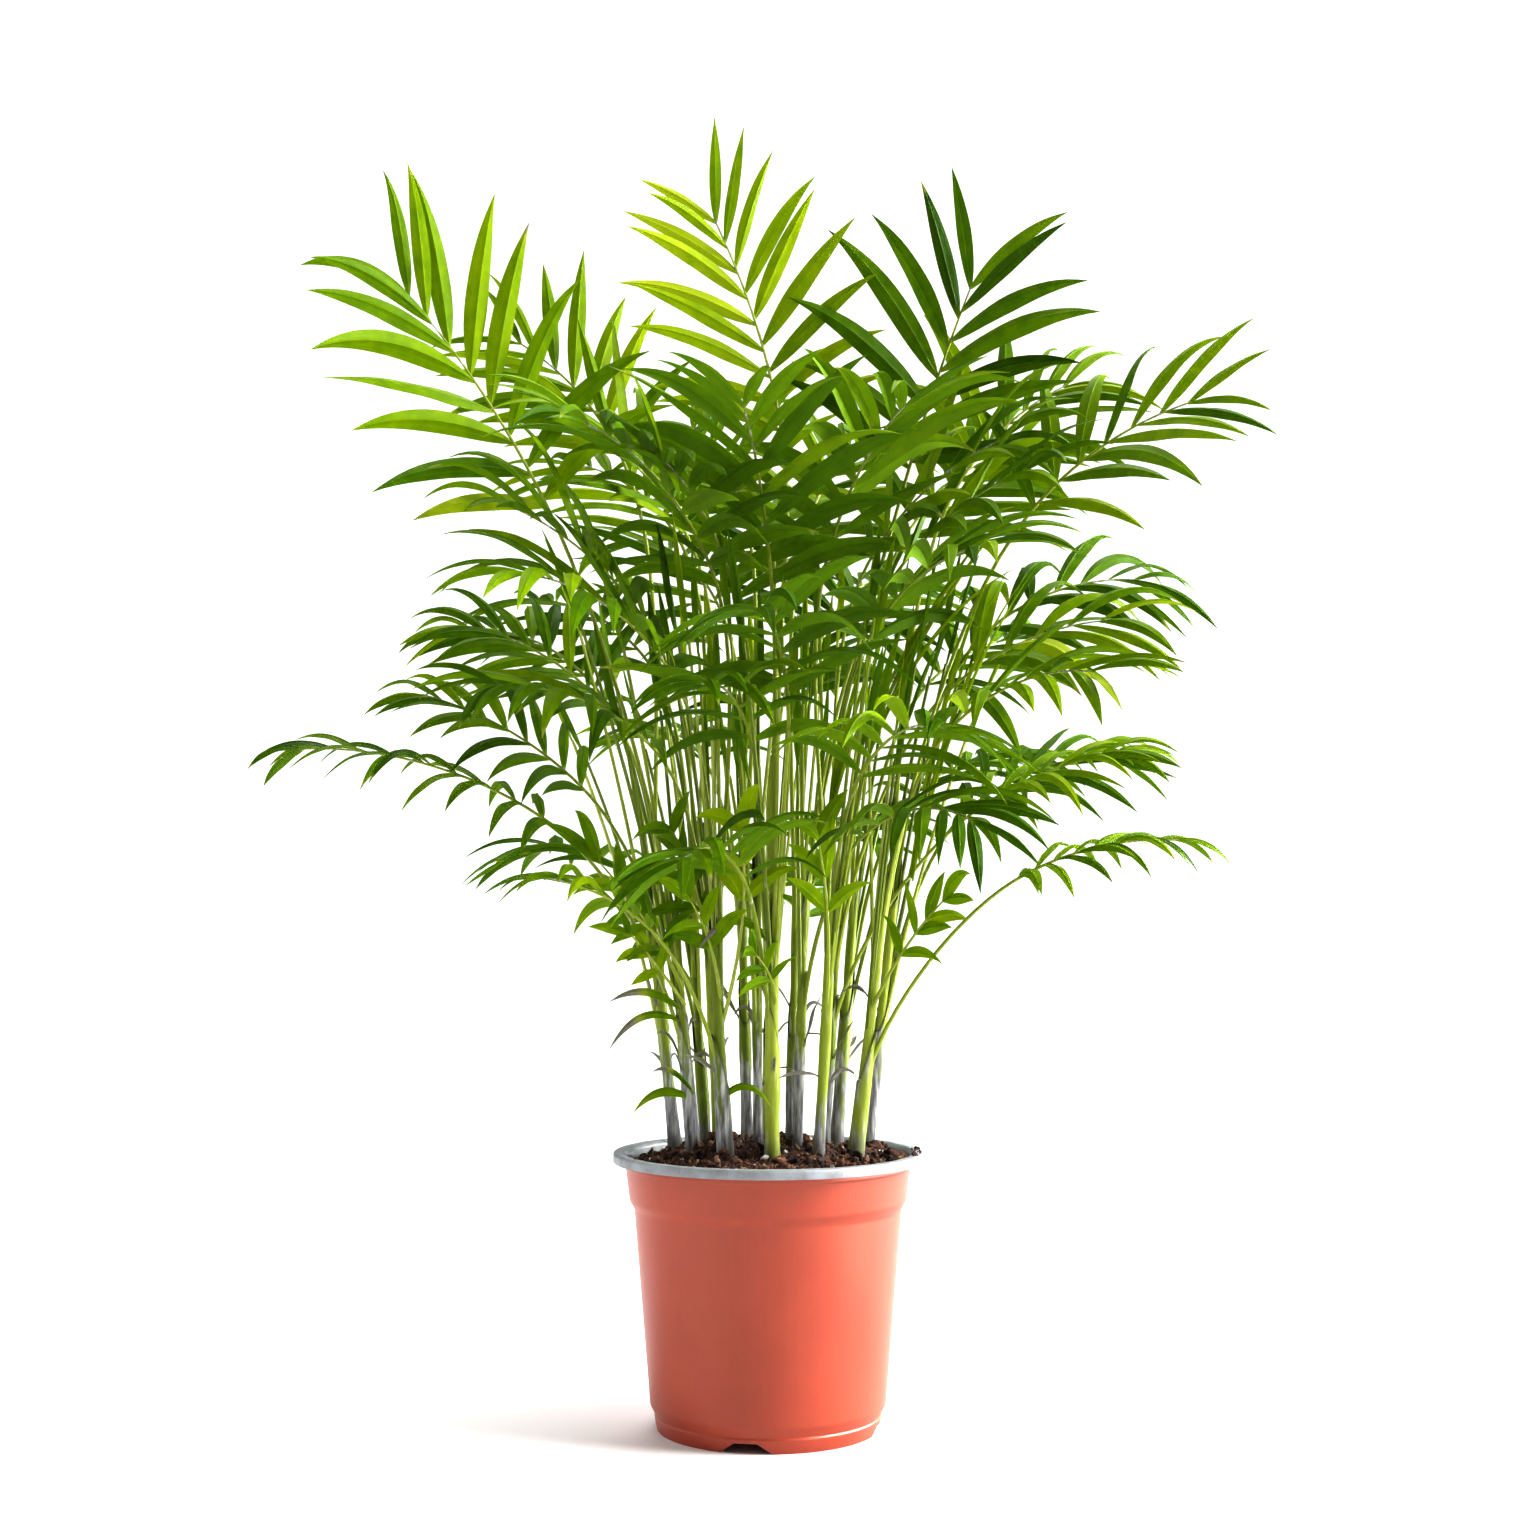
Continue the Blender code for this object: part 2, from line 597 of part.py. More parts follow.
def fuse(body, pieces):
    """Joins the pieces to the body with one Boolean union, applied."""
    group = bpy.data.collections.new(body.name + "_pieces")
    bpy.context.scene.collection.children.link(group)
    for piece in pieces:
        bpy.context.scene.collection.objects.unlink(piece)
        group.objects.link(piece)
    modifier = body.modifiers.new("Union", "BOOLEAN")
    modifier.operation, modifier.operand_type = "UNION", "COLLECTION"
    modifier.collection, modifier.solver = group, "MANIFOLD"
    bpy.context.view_layer.update()
    evaluated = body.evaluated_get(bpy.context.evaluated_depsgraph_get())
    fused = bpy.data.meshes.new_from_object(evaluated)
    body.modifiers.clear()
    body.data = fused
    for piece in pieces:
        bpy.data.objects.remove(piece)
    bpy.data.collections.remove(group)


def build_palms(look):
    neighbours = Neighbours()
    for number, stem in enumerate(stems):
        neighbours.add((number,), stem.rings())
    fronds = place_fronds(neighbours)
    pieces = [[] for _ in stems]
    for number, frond in enumerate(fronds):
        leaflets = place_leaflets(frond, number, neighbours)
        pieces[frond.palm].append(add_object("frond", frond_solid(frond, leaflets), look))
    for number, stem in enumerate(stems):
        palm = add_object(f"palm_{number + 1:02d}", lofted(stem.rings()), look)
        fuse(palm, pieces[number])


def build_hole_cutter():
    """Plain holes in the soil, GAP wider than the stems."""
    holes = [add_object("stem_hole", lofted(stem.rings(grow=GAP)), None) for stem in stems]
    fuse(holes[0], holes[1:])
    return hide_cutter(holes[0])


for old in list(bpy.data.objects):
    bpy.data.objects.remove(old)

stems = [Stem(*row) for row in STEMS]
build_pot(material("pot_plastic", (0.60, 0.17, 0.09), 0.45))
build_soil(material("peat_soil", (0.07, 0.035, 0.02), 0.95), build_hole_cutter())
build_palms(material("palm_green", (0.10, 0.30, 0.03), 0.42))
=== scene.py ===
"""Looks of a clump of young parlor palms in a plastic nursery pot, on the frame of its solids.

The pot, the soil and each palm get a finer mesh that keeps the form of the solid that it replaces.
Tables and ranges give lengths of the object in millimetres. A value with MM beside it is in metres, as
are the places of the camera, the panel and the floor. +Z is up, the camera looks along +Y.
"""

import math
import random

import bmesh
import bpy
import numpy as np
from mathutils import Matrix, Vector, noise
from mathutils.bvhtree import BVHTree


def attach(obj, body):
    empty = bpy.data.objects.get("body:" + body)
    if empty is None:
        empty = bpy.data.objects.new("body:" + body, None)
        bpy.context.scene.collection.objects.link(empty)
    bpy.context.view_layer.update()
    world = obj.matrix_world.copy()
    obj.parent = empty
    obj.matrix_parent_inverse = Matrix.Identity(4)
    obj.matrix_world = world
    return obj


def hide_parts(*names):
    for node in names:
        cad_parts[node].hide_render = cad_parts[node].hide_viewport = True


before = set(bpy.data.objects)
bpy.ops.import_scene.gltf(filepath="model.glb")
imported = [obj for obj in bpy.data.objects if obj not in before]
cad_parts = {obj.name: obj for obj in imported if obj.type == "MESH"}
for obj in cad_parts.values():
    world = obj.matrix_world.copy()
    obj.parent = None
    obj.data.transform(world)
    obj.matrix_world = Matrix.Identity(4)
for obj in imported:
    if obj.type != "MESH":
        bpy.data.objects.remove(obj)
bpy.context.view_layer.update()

MM = 0.001
UP = Vector((0, 0, 1))
SEED = 17
SHARP, POT_SHARP = math.radians(50), math.radians(30)

# Camera, as the photograph was taken
CAMERA_PLACE = (0, -1.206, 0.292)
CAMERA_PITCH = math.radians(3.2)
LENS, SENSOR = 51.05, 36

# Studio: name, side (from the front, to the right), height above the horizon, strength, and how wide
# the source looks, all in degrees but the strength
SOFT_LIGHTS = (
    ("right_key", 82, 34, 4.8, 30),
    ("left_fill", -95, 32, 1.0, 40),
    ("back_top", 170, 60, 2.4, 40),
)
# A glowing panel at the right that shows only as a reflection in the pot: side and height above the
# horizon in degrees, how far from the plant and its radius in metres, and its strength
PANEL_SIDE, PANEL_HEIGHT = 90, 14
PANEL_AWAY, PANEL_RADIUS, PANEL_GLOW = 1.6, 1.2, 30.0
PANEL_AIM = Vector((0, 0, 0.2))
ROOM_LIGHT, BACKDROP_LIGHT = 0.20, 1.0
EXPOSURE, GAMMA = 0.5, 0.8
FLOOR_RADIUS = 9.0
FLOOR_WHITE = (0.84, 0.84, 0.84)

# Pot: radius, height and rounding of each corner of its wall
POT_OUTSIDE = (
    (79.8, 149.0, 0.6), (84.2, 149.0, 0.8), (85.0, 148.2, 0.8), (85.0, 143.8, 0.3),
    (84.0, 143.8, 0.3), (84.0, 147.9, 0.5), (80.2, 147.9, 0.5), (78.6, 146.0, 0.6),
    (78.5, 141.3, 0.4), (78.0, 140.4, 0.4), (75.8, 123.0, 1.2), (73.2, 118.6, 1.6),
    (64.3, 13.6, 1.2), (61.6, 8.4, 0.3), (62.0, 7.2, 0.3), (60.5, 0.0, 0.3),
    (57.0, 0.0, 0.3), (56.4, 8.0, 0.6), (0.0, 8.0, 0.0),
)
POT_INSIDE = (
    (0.0, 9.0, 0.0), (60.2, 9.0, 0.8), (63.3, 14.0, 1.2), (72.2, 119.2, 1.6), (74.8, 123.4, 1.2),
    (77.2, 140.8, 0.6), (77.6, 147.0, 0.8),
)
POT_STEPS, ARC_STEPS = 160, 3
MERGE = 0.01 * MM
LIP_FOOT, FLOOR_TOP = 143.9 * MM, 9.0 * MM
NOTCHES = 4
NOTCH_TURN = math.radians(-101)
NOTCH_FOOT, NOTCH_TOP, NOTCH_HEIGHT = 31 * MM, 12 * MM, 5.5 * MM
NOTCH_FROM, NOTCH_TO, NOTCH_BELOW = 50 * MM, 70 * MM, 1 * MM
DRAIN_RADIUS, DRAIN_RING, DRAIN_SIDES = 5 * MM, 45 * MM, 40
DRAIN_FROM, DRAIN_TO = 6.5 * MM, 10.5 * MM

# Soil: it follows the wall, is lowest at the rim and heaped round the stems
SOIL_SIDE = ((59.9, 9.3), (71.7, 119.4), (74.2, 123.4), (76.8, 142.5))
SOIL_HEAP = 10.0 * MM
SOIL_RINGS, SOIL_TURNS = 46, 150
# Lumps in the soil: how big across, how high
SOIL_LUMPS = ((16 * MM, 3.0 * MM), (6 * MM, 1.6 * MM), (2.4 * MM, 0.7 * MM))
# Mounds round the stems: x, y, how wide, how high
SOIL_MOUNDS = (
    (-26, -24, 14, 6.5), (2, -36, 13, 4.0), (30, -30, 14, 3.5), (48, 0, 13, 3.0), (-44, 8, 13, 2.5),
    (0, -6, 20, 2.0), (-30, 34, 14, 2.5), (12, 34, 18, 2.0), (-10, -80, 38, 3.0), (62, -46, 34, 3.2),
    (78, 4, 26, 4.2), (-66, -40, 28, 2.2),
)
# Grains: kind, how many, subdivisions, smallest and largest radius, tones, how long for their width
CRUMBS = (
    ("clods", 100, 3, 1.8, 3.6, (0.2, 0.7), 1.4),
    ("crumbs", 1400, 2, 0.6, 1.9, (0.0, 1.0), 1.9),
    ("dust", 2400, 1, 0.3, 0.75, (0.1, 1.1), 2.2),
)
PERLITE = ("perlite", 84, 2, 0.7, 1.9, (0.0, 1.0), 1.1)
# How rare the large grains are, how many waves go over a grain, how high they and its roughness are,
# how flat it lies and how far it stands out
GRAIN_RARE, GRAIN_WAVES, GRAIN_SWELL, GRAIN_ROUGH = 1.6, 2.2, 0.2, 0.09
GRAIN_FLAT, GRAIN_OUT = (0.4, 0.9), 0.3
# Crumbs spilled on the rim, and the turns and radii that they lie between
SPILLED_CRUMBS = ("spilled", 26, 2, 0.4, 1.3, (0.1, 0.7), 1.4)
SPILLED_WHERE = ((-0.30, 79.6), (0.16, 84.0))
# Fibres: how many lie and stand, points on each, how far out they begin and end at most, length of a
# step, bend in all and at each step, slope of those that stand, height of an arch, thickness, tones
FIBRES, STANDING_FIBRES, FIBRE_POINTS = 520, 36, 8
FIBRE_REACH, FIBRE_LIMIT = 72 * MM, 75 * MM
FIBRE_STEP, FIBRE_BEND, FIBRE_WANDER, FIBRE_CLIMB = (0.9, 2.2), 0.5, 0.3, (0.5, 1.3)
FIBRE_ARCH, FIBRE_THICK, FIBRE_CORNERS, FIBRE_TONES = 0.4 * MM, (0.1, 0.24), 5, (0.35, 1.15)

# Stems: foot x, foot y, height of the top. They lean away from the middle of the pot.
STEMS = (
    (-38, -15, 246), (-21, -35, 232), (2, -41, 240), (25, -35, 236), (44, -21, 228), (-48, 9, 240),
    (-25, -8, 258), (-5, -14, 270), (15, -13, 262), (29, 5, 254), (51, 5, 240), (-33, 32, 248),
    (-11, 20, 260), (12, 26, 256), (36, 27, 244), (1, 49, 238),
)
STEM_FOOT_Z = 118
STEM_SIDES = 6
STEM_LEAN = 1.27
STEM_FOOT_RADIUS, STEM_TOP_RADIUS = 4.9 * MM, 3.6 * MM
# The finer stems: heights, and the radius there
STEM_SLIMS = (118, 148, 158, 190, 225, 275), (4.9, 4.7, 4.0, 3.4, 2.7, 2.1)
STEM_RINGS, STEM_CORNERS = 30, 14
STEM_BLUNT, STEM_END = 0.08, 0.02

# Fronds: palm, height of the fork, where the leaflets begin, tip of the rib, leaflet length, how limp
# the leaflets are, and how far the blade is turned about its rib in degrees
FRONDS = (
    (1, 186, (-114, -48, 326), (-246, -62, 366), 56, 1.5, -10),
    (1, 208, (-98, -18, 344), (-188, -26, 398), 60, 1.2, -30),
    (1, 240, (-118, -38, 496), (-194, -52, 612), 102, 0.75, -72),
    (2, 178, (-60, -66, 270), (-112, -92, 298), 56, 1.1, 0),
    (2, 200, (-50, -72, 404), (-118, -146, 446), 86, 1.1, -30),
    (2, 226, (-30, -56, 462), (-90, -140, 522), 92, 0.9, -20),
    (3, 180, (-12, -86, 296), (-40, -178, 306), 76, 1.3, 15),
    (3, 206, (10, -88, 392), (-6, -194, 422), 84, 1.1, 10),
    (3, 234, (2, -66, 452), (-12, -156, 528), 94, 0.8, 0),
    (4, 178, (46, -86, 348), (84, -178, 368), 78, 1.3, -10),
    (4, 204, (50, -72, 418), (104, -158, 458), 88, 1.0, 20),
    (4, 230, (30, -52, 462), (68, -136, 532), 92, 0.9, 10),
    (5, 176, (130, -44, 296), (216, -60, 318), 48, 1.5, 10),
    (5, 200, (92, -60, 372), (160, -132, 400), 80, 1.1, 25),
    (5, 222, (142, -38, 496), (226, -56, 552), 88, 0.8, 50),
    (6, 184, (-88, 8, 390), (-170, 16, 440), 72, 1.0, -35),
    (6, 206, (-96, 42, 404), (-172, 98, 448), 76, 1.0, -30),
    (6, 234, (-84, 36, 540), (-146, 54, 612), 82, 0.6, -60),
    (7, 202, (-60, -42, 366), (-138, -98, 396), 76, 1.2, -20),
    (7, 226, (-62, -34, 430), (-132, -84, 490), 88, 1.0, -35),
    (7, 252, (-44, -10, 486), (-108, -32, 550), 88, 0.8, -45),
    (8, 216, (-8, -58, 368), (-32, -150, 392), 80, 1.2, 0),
    (8, 238, (-16, -38, 446), (-52, -126, 506), 88, 0.9, -15),
    (8, 264, (8, 4, 546), (-30, 0, 668), 82, 0.5, -86),
    (9, 206, (48, -54, 318), (100, -136, 326), 76, 1.2, 20),
    (9, 230, (62, -38, 452), (132, -92, 508), 88, 0.9, 35),
    (9, 256, (78, 0, 524), (114, -2, 630), 102, 0.55, 80),
    (10, 200, (104, -22, 328), (190, -36, 366), 62, 1.2, 25),
    (10, 224, (98, -12, 400), (182, -28, 438), 90, 1.3, 40),
    (10, 248, (58, -22, 470), (126, -54, 532), 92, 0.9, 40),
    (11, 188, (112, 24, 336), (196, 36, 368), 68, 1.1, 25),
    (11, 208, (122, 24, 436), (212, 40, 470), 80, 1.1, 35),
    (11, 234, (108, 32, 522), (174, 52, 586), 86, 0.8, 45),
    (12, 190, (-80, 88, 300), (-154, 154, 312), 70, 1.1, 0),
    (12, 214, (-68, 76, 422), (-144, 148, 472), 84, 1.0, -20),
    (12, 242, (-50, 52, 492), (-118, 106, 550), 88, 0.9, -30),
    (13, 204, (-36, 96, 366), (-78, 186, 390), 72, 1.1, 0),
    (13, 230, (-24, 64, 446), (-68, 142, 506), 88, 0.9, -10),
    (13, 254, (-12, 38, 502), (-46, 104, 572), 88, 0.8, -30),
    (14, 202, (32, 98, 318), (68, 186, 332), 74, 1.1, 0),
    (14, 226, (30, 80, 436), (72, 168, 488), 88, 0.9, 15),
    (14, 250, (20, 46, 494), (56, 120, 562), 88, 0.8, 25),
    (15, 190, (84, 80, 346), (160, 150, 370), 70, 1.1, 0),
    (15, 212, (90, 64, 408), (172, 130, 446), 82, 1.0, 20),
    (15, 238, (76, 44, 490), (146, 92, 556), 88, 0.8, 40),
    (16, 186, (-2, 112, 290), (-8, 196, 300), 68, 1.1, 0),
    (16, 208, (8, 98, 398), (22, 194, 438), 84, 1.0, 0),
    (16, 232, (4, 76, 476), (0, 164, 540), 88, 0.8, 5),
)
PETIOLE_HALF, RIB_START_HALF, RIB_TIP_HALF = 1.6 * MM, 1.2 * MM, 0.8 * MM
PETIOLE_STEPS = 5
PETIOLE_LEAVE, PETIOLE_ARRIVE, TO_RIB = 0.9, 0.8, 1.3
BLADE_BACK = 0.8
TIP_SHIFT = 0.6
SOLID_PAIRS_LONG, SOLID_PAIRS_SHORT, LONG_RIB = 5, 4, 88 * MM

# Leaflets: one pair for each stretch of the rib, a share of the leaflets' length
PAIR_EVERY = 0.19
FEWEST_PAIRS, MOST_PAIRS = 6, 9
ROOT_HALF = 1.6 * MM
SIDE_STEP = 0.22
BASE_ANGLE, TIP_ANGLE = math.radians(62), math.radians(24)
LEAFLET_LIFT = math.radians(12)
LONGEST_AT, SHORTENING = 0.4, 1.05
WIDTH_SHARE, END_WIDTH_SHARE, NARROWER = 0.150, 0.165, 2.6 * MM
LEAST_WIDTH = 6.8 * MM
SAG_POWER = 1.3
LEAF_STEPS = 15
# How far leaflets stray from the rule: angle, lift, share of the length, share of the sag, roll about
# the leaflet's own length at its root, and twist along it
STRAY = (math.radians(4), math.radians(7), 0.06, 0.3, math.radians(16), math.radians(20))
LEAST_SAG = 0.2
CLEARANCE, SOLID_CLEARANCE = 0.6 * MM, 0.8 * MM
SHIFTS_MM = (5, 10, 15, 20, 26, 32)
BENDS_DEG, SLIGHTLY_SHORTER = (6, 12, 18), 0.92
SHORT_BEND_DEG, SHORTER = 12, (0.8, 0.65, 0.5)

# How light the fronds of a palm are, lowest first, and those that differ, by their place in FRONDS
FROND_TONES = (0.30, 0.38, 0.50)
ODD_TONES = {
    0: 0.46, 1: 0.46, 2: 0.56, 12: 0.52, 13: 0.6, 14: 0.55, 15: 0.44, 17: 0.55, 22: 0.46, 23: 0.84,
    26: 0.34, 27: 0.60, 28: 0.62, 29: 0.5, 32: 0.58, 3: 0.50, 4: 0.46, 9: 0.44, 18: 0.44,
}
TONE_SPREAD = 0.19
# Stems are papery and dry up to some height. Leaflets may have dry tips, and ribs dry out to the tip.
DRY_UP_TO, DRY_SPREAD = (140, 206), 50
DRY_TIPS, TIP_DRYNESS, TIP_FROM, RIB_DRY = 0.22, (0.15, 0.9), 0.86, 0.5
DARK_FOOT, DARK_UP_TO = 0.7, (148, 166)
# Petioles: radius in the stem, at the first leaflets and at the tip of the rib, how much they swell
# towards the stem and over what share, how flat they are, and how many rings and corners they have
PETIOLE_RADII, PETIOLE_SWELL, SWELL_SHARE = (1.5 * MM, 1.05 * MM, 0.5 * MM), 1.2 * MM, 0.3
PETIOLE_FLAT, PETIOLE_RINGS, PETIOLE_CORNERS = 0.85, 17, 8
# Sheaths: how far below its mouth one begins, how deep the mouth is cut at the back, and how high its
# lip stands over that at the front
SHEATH_BELOW, SHEATH_CUT, SHEATH_LIP = (60, 80), (14, 24), (24, 34)
# Swell of the innermost and more for each layer, flare of the lip, thickness, all in millimetres
SHEATH_SWELL, SHEATH_LAYER, SHEATH_FLARE, SHEATH_WALL = 0.15, 0.25, 0.9, 0.3
SHEATH_RINGS, SHEATH_CORNERS, SHEATH_INSIDE = 13, 18, (1, 0.86, 0.7)
# Place on its petiole that a sheath faces, how sharply its mouth slants, how far it is sunk in the stem
SHEATH_FACES, SHEATH_SLANT, SHEATH_SUNK = 0.35, 1.6, 0.1 * MM
# Its mouth and inside are dark with painted shade from some share of its height, and its edge papery
# over some height
MOUTH_PAINTED_SHADE, MOUTH_FROM, SHEATH_EDGE, EDGE_DRY = 0.85, 0.97, 16 * MM, 0.5
# A petiole is out of its stem when it is this far outside, at the first of some places
OUT_OF_STEM, PETIOLE_PLACES = 0.8 * MM, 41

# Spears, each of a few narrow folds: palm, start, control and end, how far it fans out, tone
SPEARS = (
    (5, (76, -42, 300), (92, -52, 400), (132, -60, 486), 7, 0.95),
    (10, (56, -34, 380), (80, -54, 440), (122, -60, 496), 6, 0.85),
    (4, (32, -50, 330), (38, -60, 380), (54, -68, 424), 4, 0.85),
)
# How many folds, half the width of one and how much it varies, how far they stand apart at the foot and
# the middle, how much lower one may begin, how much lower the outer tips are, and by how much a fold
# may be shorter, twisted, and lighter
SPEAR_FOLDS, SPEAR_HALF, SPEAR_WIDE = 4, 1.7, (0.8, 1.3)
SPEAR_FOOT_FAN, SPEAR_MIDDLE_FAN, SPEAR_LOWER, SPEAR_FALL = 0.5, 2.4, 12, 1.6
SPEAR_SHORTER, SPEAR_TWIST, SPEAR_TONES = (0, 24), 0.5, (-0.1, 0.05)
# Small low leaves: palm, start, control and end, half the width, tone and how dry the tip is
SHOOTS = (
    (1, (-40, -18, 178), (-58, -30, 192), (-72, -38, 173), 2.6, 0.55, 0.2),
    (1, (-40, -20, 182), (-52, -34, 202), (-62, -42, 195), 1.6, 0.30, 1.1),
    (2, (-27, -38, 178), (-12, -50, 200), (2, -58, 178), 2.4, 0.60, 0.1),
    (1, (-46, -20, 226), (-64, -36, 246), (-85, -44, 232), 2.4, 0.50, 1.0),
    (1, (-46, -20, 220), (-68, -38, 236), (-85, -46, 206), 2.2, 0.45, 1.0),
    (3, (2, -46, 262), (-16, -62, 292), (-37, -66, 260), 2.8, 0.50, 1.1),
)
SHOOT_TWIST, SHOOT_FOLD, SHOOT_DRY = 0.4, 0.4, (0.35, 0.8)
# Small low sprays of leaves: palm, start, control and end of the rib, how many pairs, where they
# begin, leaf length, half the width, tone
SPRAYS = (
    (1, (-46, -22, 236), (-56, -40, 268), (-88, -62, 306), 4, 0.35, 36, 3.9, 0.52),
    (1, (-45, -24, 230), (-54, -40, 246), (-72, -54, 268), 3, 0.5, 24, 3.0, 0.72),
    (2, (-25, -42, 226), (-26, -60, 262), (-40, -74, 286), 3, 0.5, 32, 3.8, 0.58),
    (2, (-24, -43, 222), (-8, -60, 280), (-14, -76, 322), 3, 0.6, 34, 4.6, 0.80),
    (3, (3, -50, 228), (6, -64, 244), (-6, -74, 258), 3, 0.5, 22, 3.2, 0.46),
    (7, (-30, -14, 250), (-36, -30, 290), (-50, -52, 322), 4, 0.4, 34, 3.8, 0.42),
    (4, (31, -46, 230), (34, -64, 280), (26, -76, 318), 3, 0.5, 34, 3.8, 0.62),
    (5, (55, -27, 226), (70, -44, 262), (92, -58, 286), 4, 0.45, 28, 3.2, 0.60),
    (14, (16, 33, 240), (22, 56, 284), (30, 84, 306), 4, 0.45, 32, 3.6, 0.46),
    (12, (-42, 41, 236), (-62, 58, 268), (-86, 70, 292), 4, 0.45, 30, 3.4, 0.46),
)
# Radius of the rib at its two ends, and how much its leaves vary: in length, width, limpness and fold,
# and by chance in swing, lift (middle and spread), twist and tone
SPRAY_RIB = (1.2, 0.5)
SPRAY_LONG, SPRAY_WIDE, SPRAY_LIMP, SPRAY_FOLD = (0.8, 1.15), (0.85, 1.15), (0.4, 1.1), (0.6, 1.4)
SPRAY_SWING, SPRAY_LIFT, SPRAY_TWIST, SPRAY_TONE = 0.16, (0.1, 0.2), 0.35, 0.08
# Thin straight petioles of young leaves that stand among the stems: how many for each stem, heights
# where they leave it, heights of their tips, how far they lean out, how far they stray in millimetres,
# how much they bow, radius, its shares at the two ends, and tones
CANES, THIN_CORNERS = 4, 6
CANE_FROM, CANE_TO, CANE_SPREAD = (176, 232), (350, 440), (1.5, 2.3)
CANE_STRAY, CANE_BOW = 9, 0.2
CANE_RADIUS, CANE_THINS, CANE_TONES = 1.1 * MM, (1.2, 0.8), (0.15, 0.90)
# The leaf on each: length, half the width, how limp it is, its twist at most, and its fold
CANE_LEAF, CANE_LEAF_HALF = (44 * MM, 74 * MM), (1.7 * MM, 3.0 * MM)
CANE_LIMP, CANE_TWIST, YOUNG_FOLD = (0.05, 0.6), 1.6, 0.8
FRONT = (0, -0.9, 0.5)
# Strips of dead sheath: how many on each stem, heights, how far they stand off at the middle and rise,
# how much farther their tips reach and hang, half the width, twist at most, fold, tone and dryness,
# with the lengths in millimetres
STRIPS, STRIP_HEIGHTS = 2, (186, 238)
STRIP_OFF, STRIP_RISE, STRIP_REACH, STRIP_HANG = (3, 10), (4, 22), (2, 16), (-12, 16)
STRIP_HALF, STRIP_TWIST, STRIP_FOLD, STRIP_TONE, STRIP_DRY = (0.7, 1.6), 5, 0.7, 0.3, (0.8, 1.2)
# How slim or stout the stems are, their tones, and how far the fronds stray from their own
GIRTHS, STEM_TONES, FROND_STRAY = (0.72, 1.04), (0.35, 0.8), 0.07

# Cross-section of a blade: places across it, and the height there of its midrib and nerves
ACROSS = np.array((-1, -0.76, -0.48, -0.2, 0, 0.2, 0.48, 0.76, 1))
NERVES = np.array((0, 0.0, 0.2, -0.05, 0.45, -0.05, 0.2, 0.0, 0)) * MM
BLADE_THICK, BLADE_EDGE = 0.36 * MM, 0.22 * MM
LEAST_THICK = 0.5
# Half-widths of a blade at least near its root and its tip, and from which it has its full relief
ROOT_WIDE, TIP_WIDE, FULL_WIDE = 0.8 * MM, 0.1 * MM, 3 * MM
# Slope of the two halves, height of the ripple along the edges, how many waves and how far the two
# edges are out of step, and how much the folds of leaflets differ
FOLD = 0.36
WAVE, WAVES, WAVE_LAG = 0.06, 2.3, 1.3
FOLD_SPREAD = (0.6, 1.5)


def vector_mm(*numbers):
    return Vector(numbers) * MM


def smooth_step(share):
    return share * share * (3 - 2 * share)


def fade(value, low, high):
    """0 below low, 1 above high and smooth between."""
    return smooth_step(np.clip((value - low) / (high - low), 0, 1))


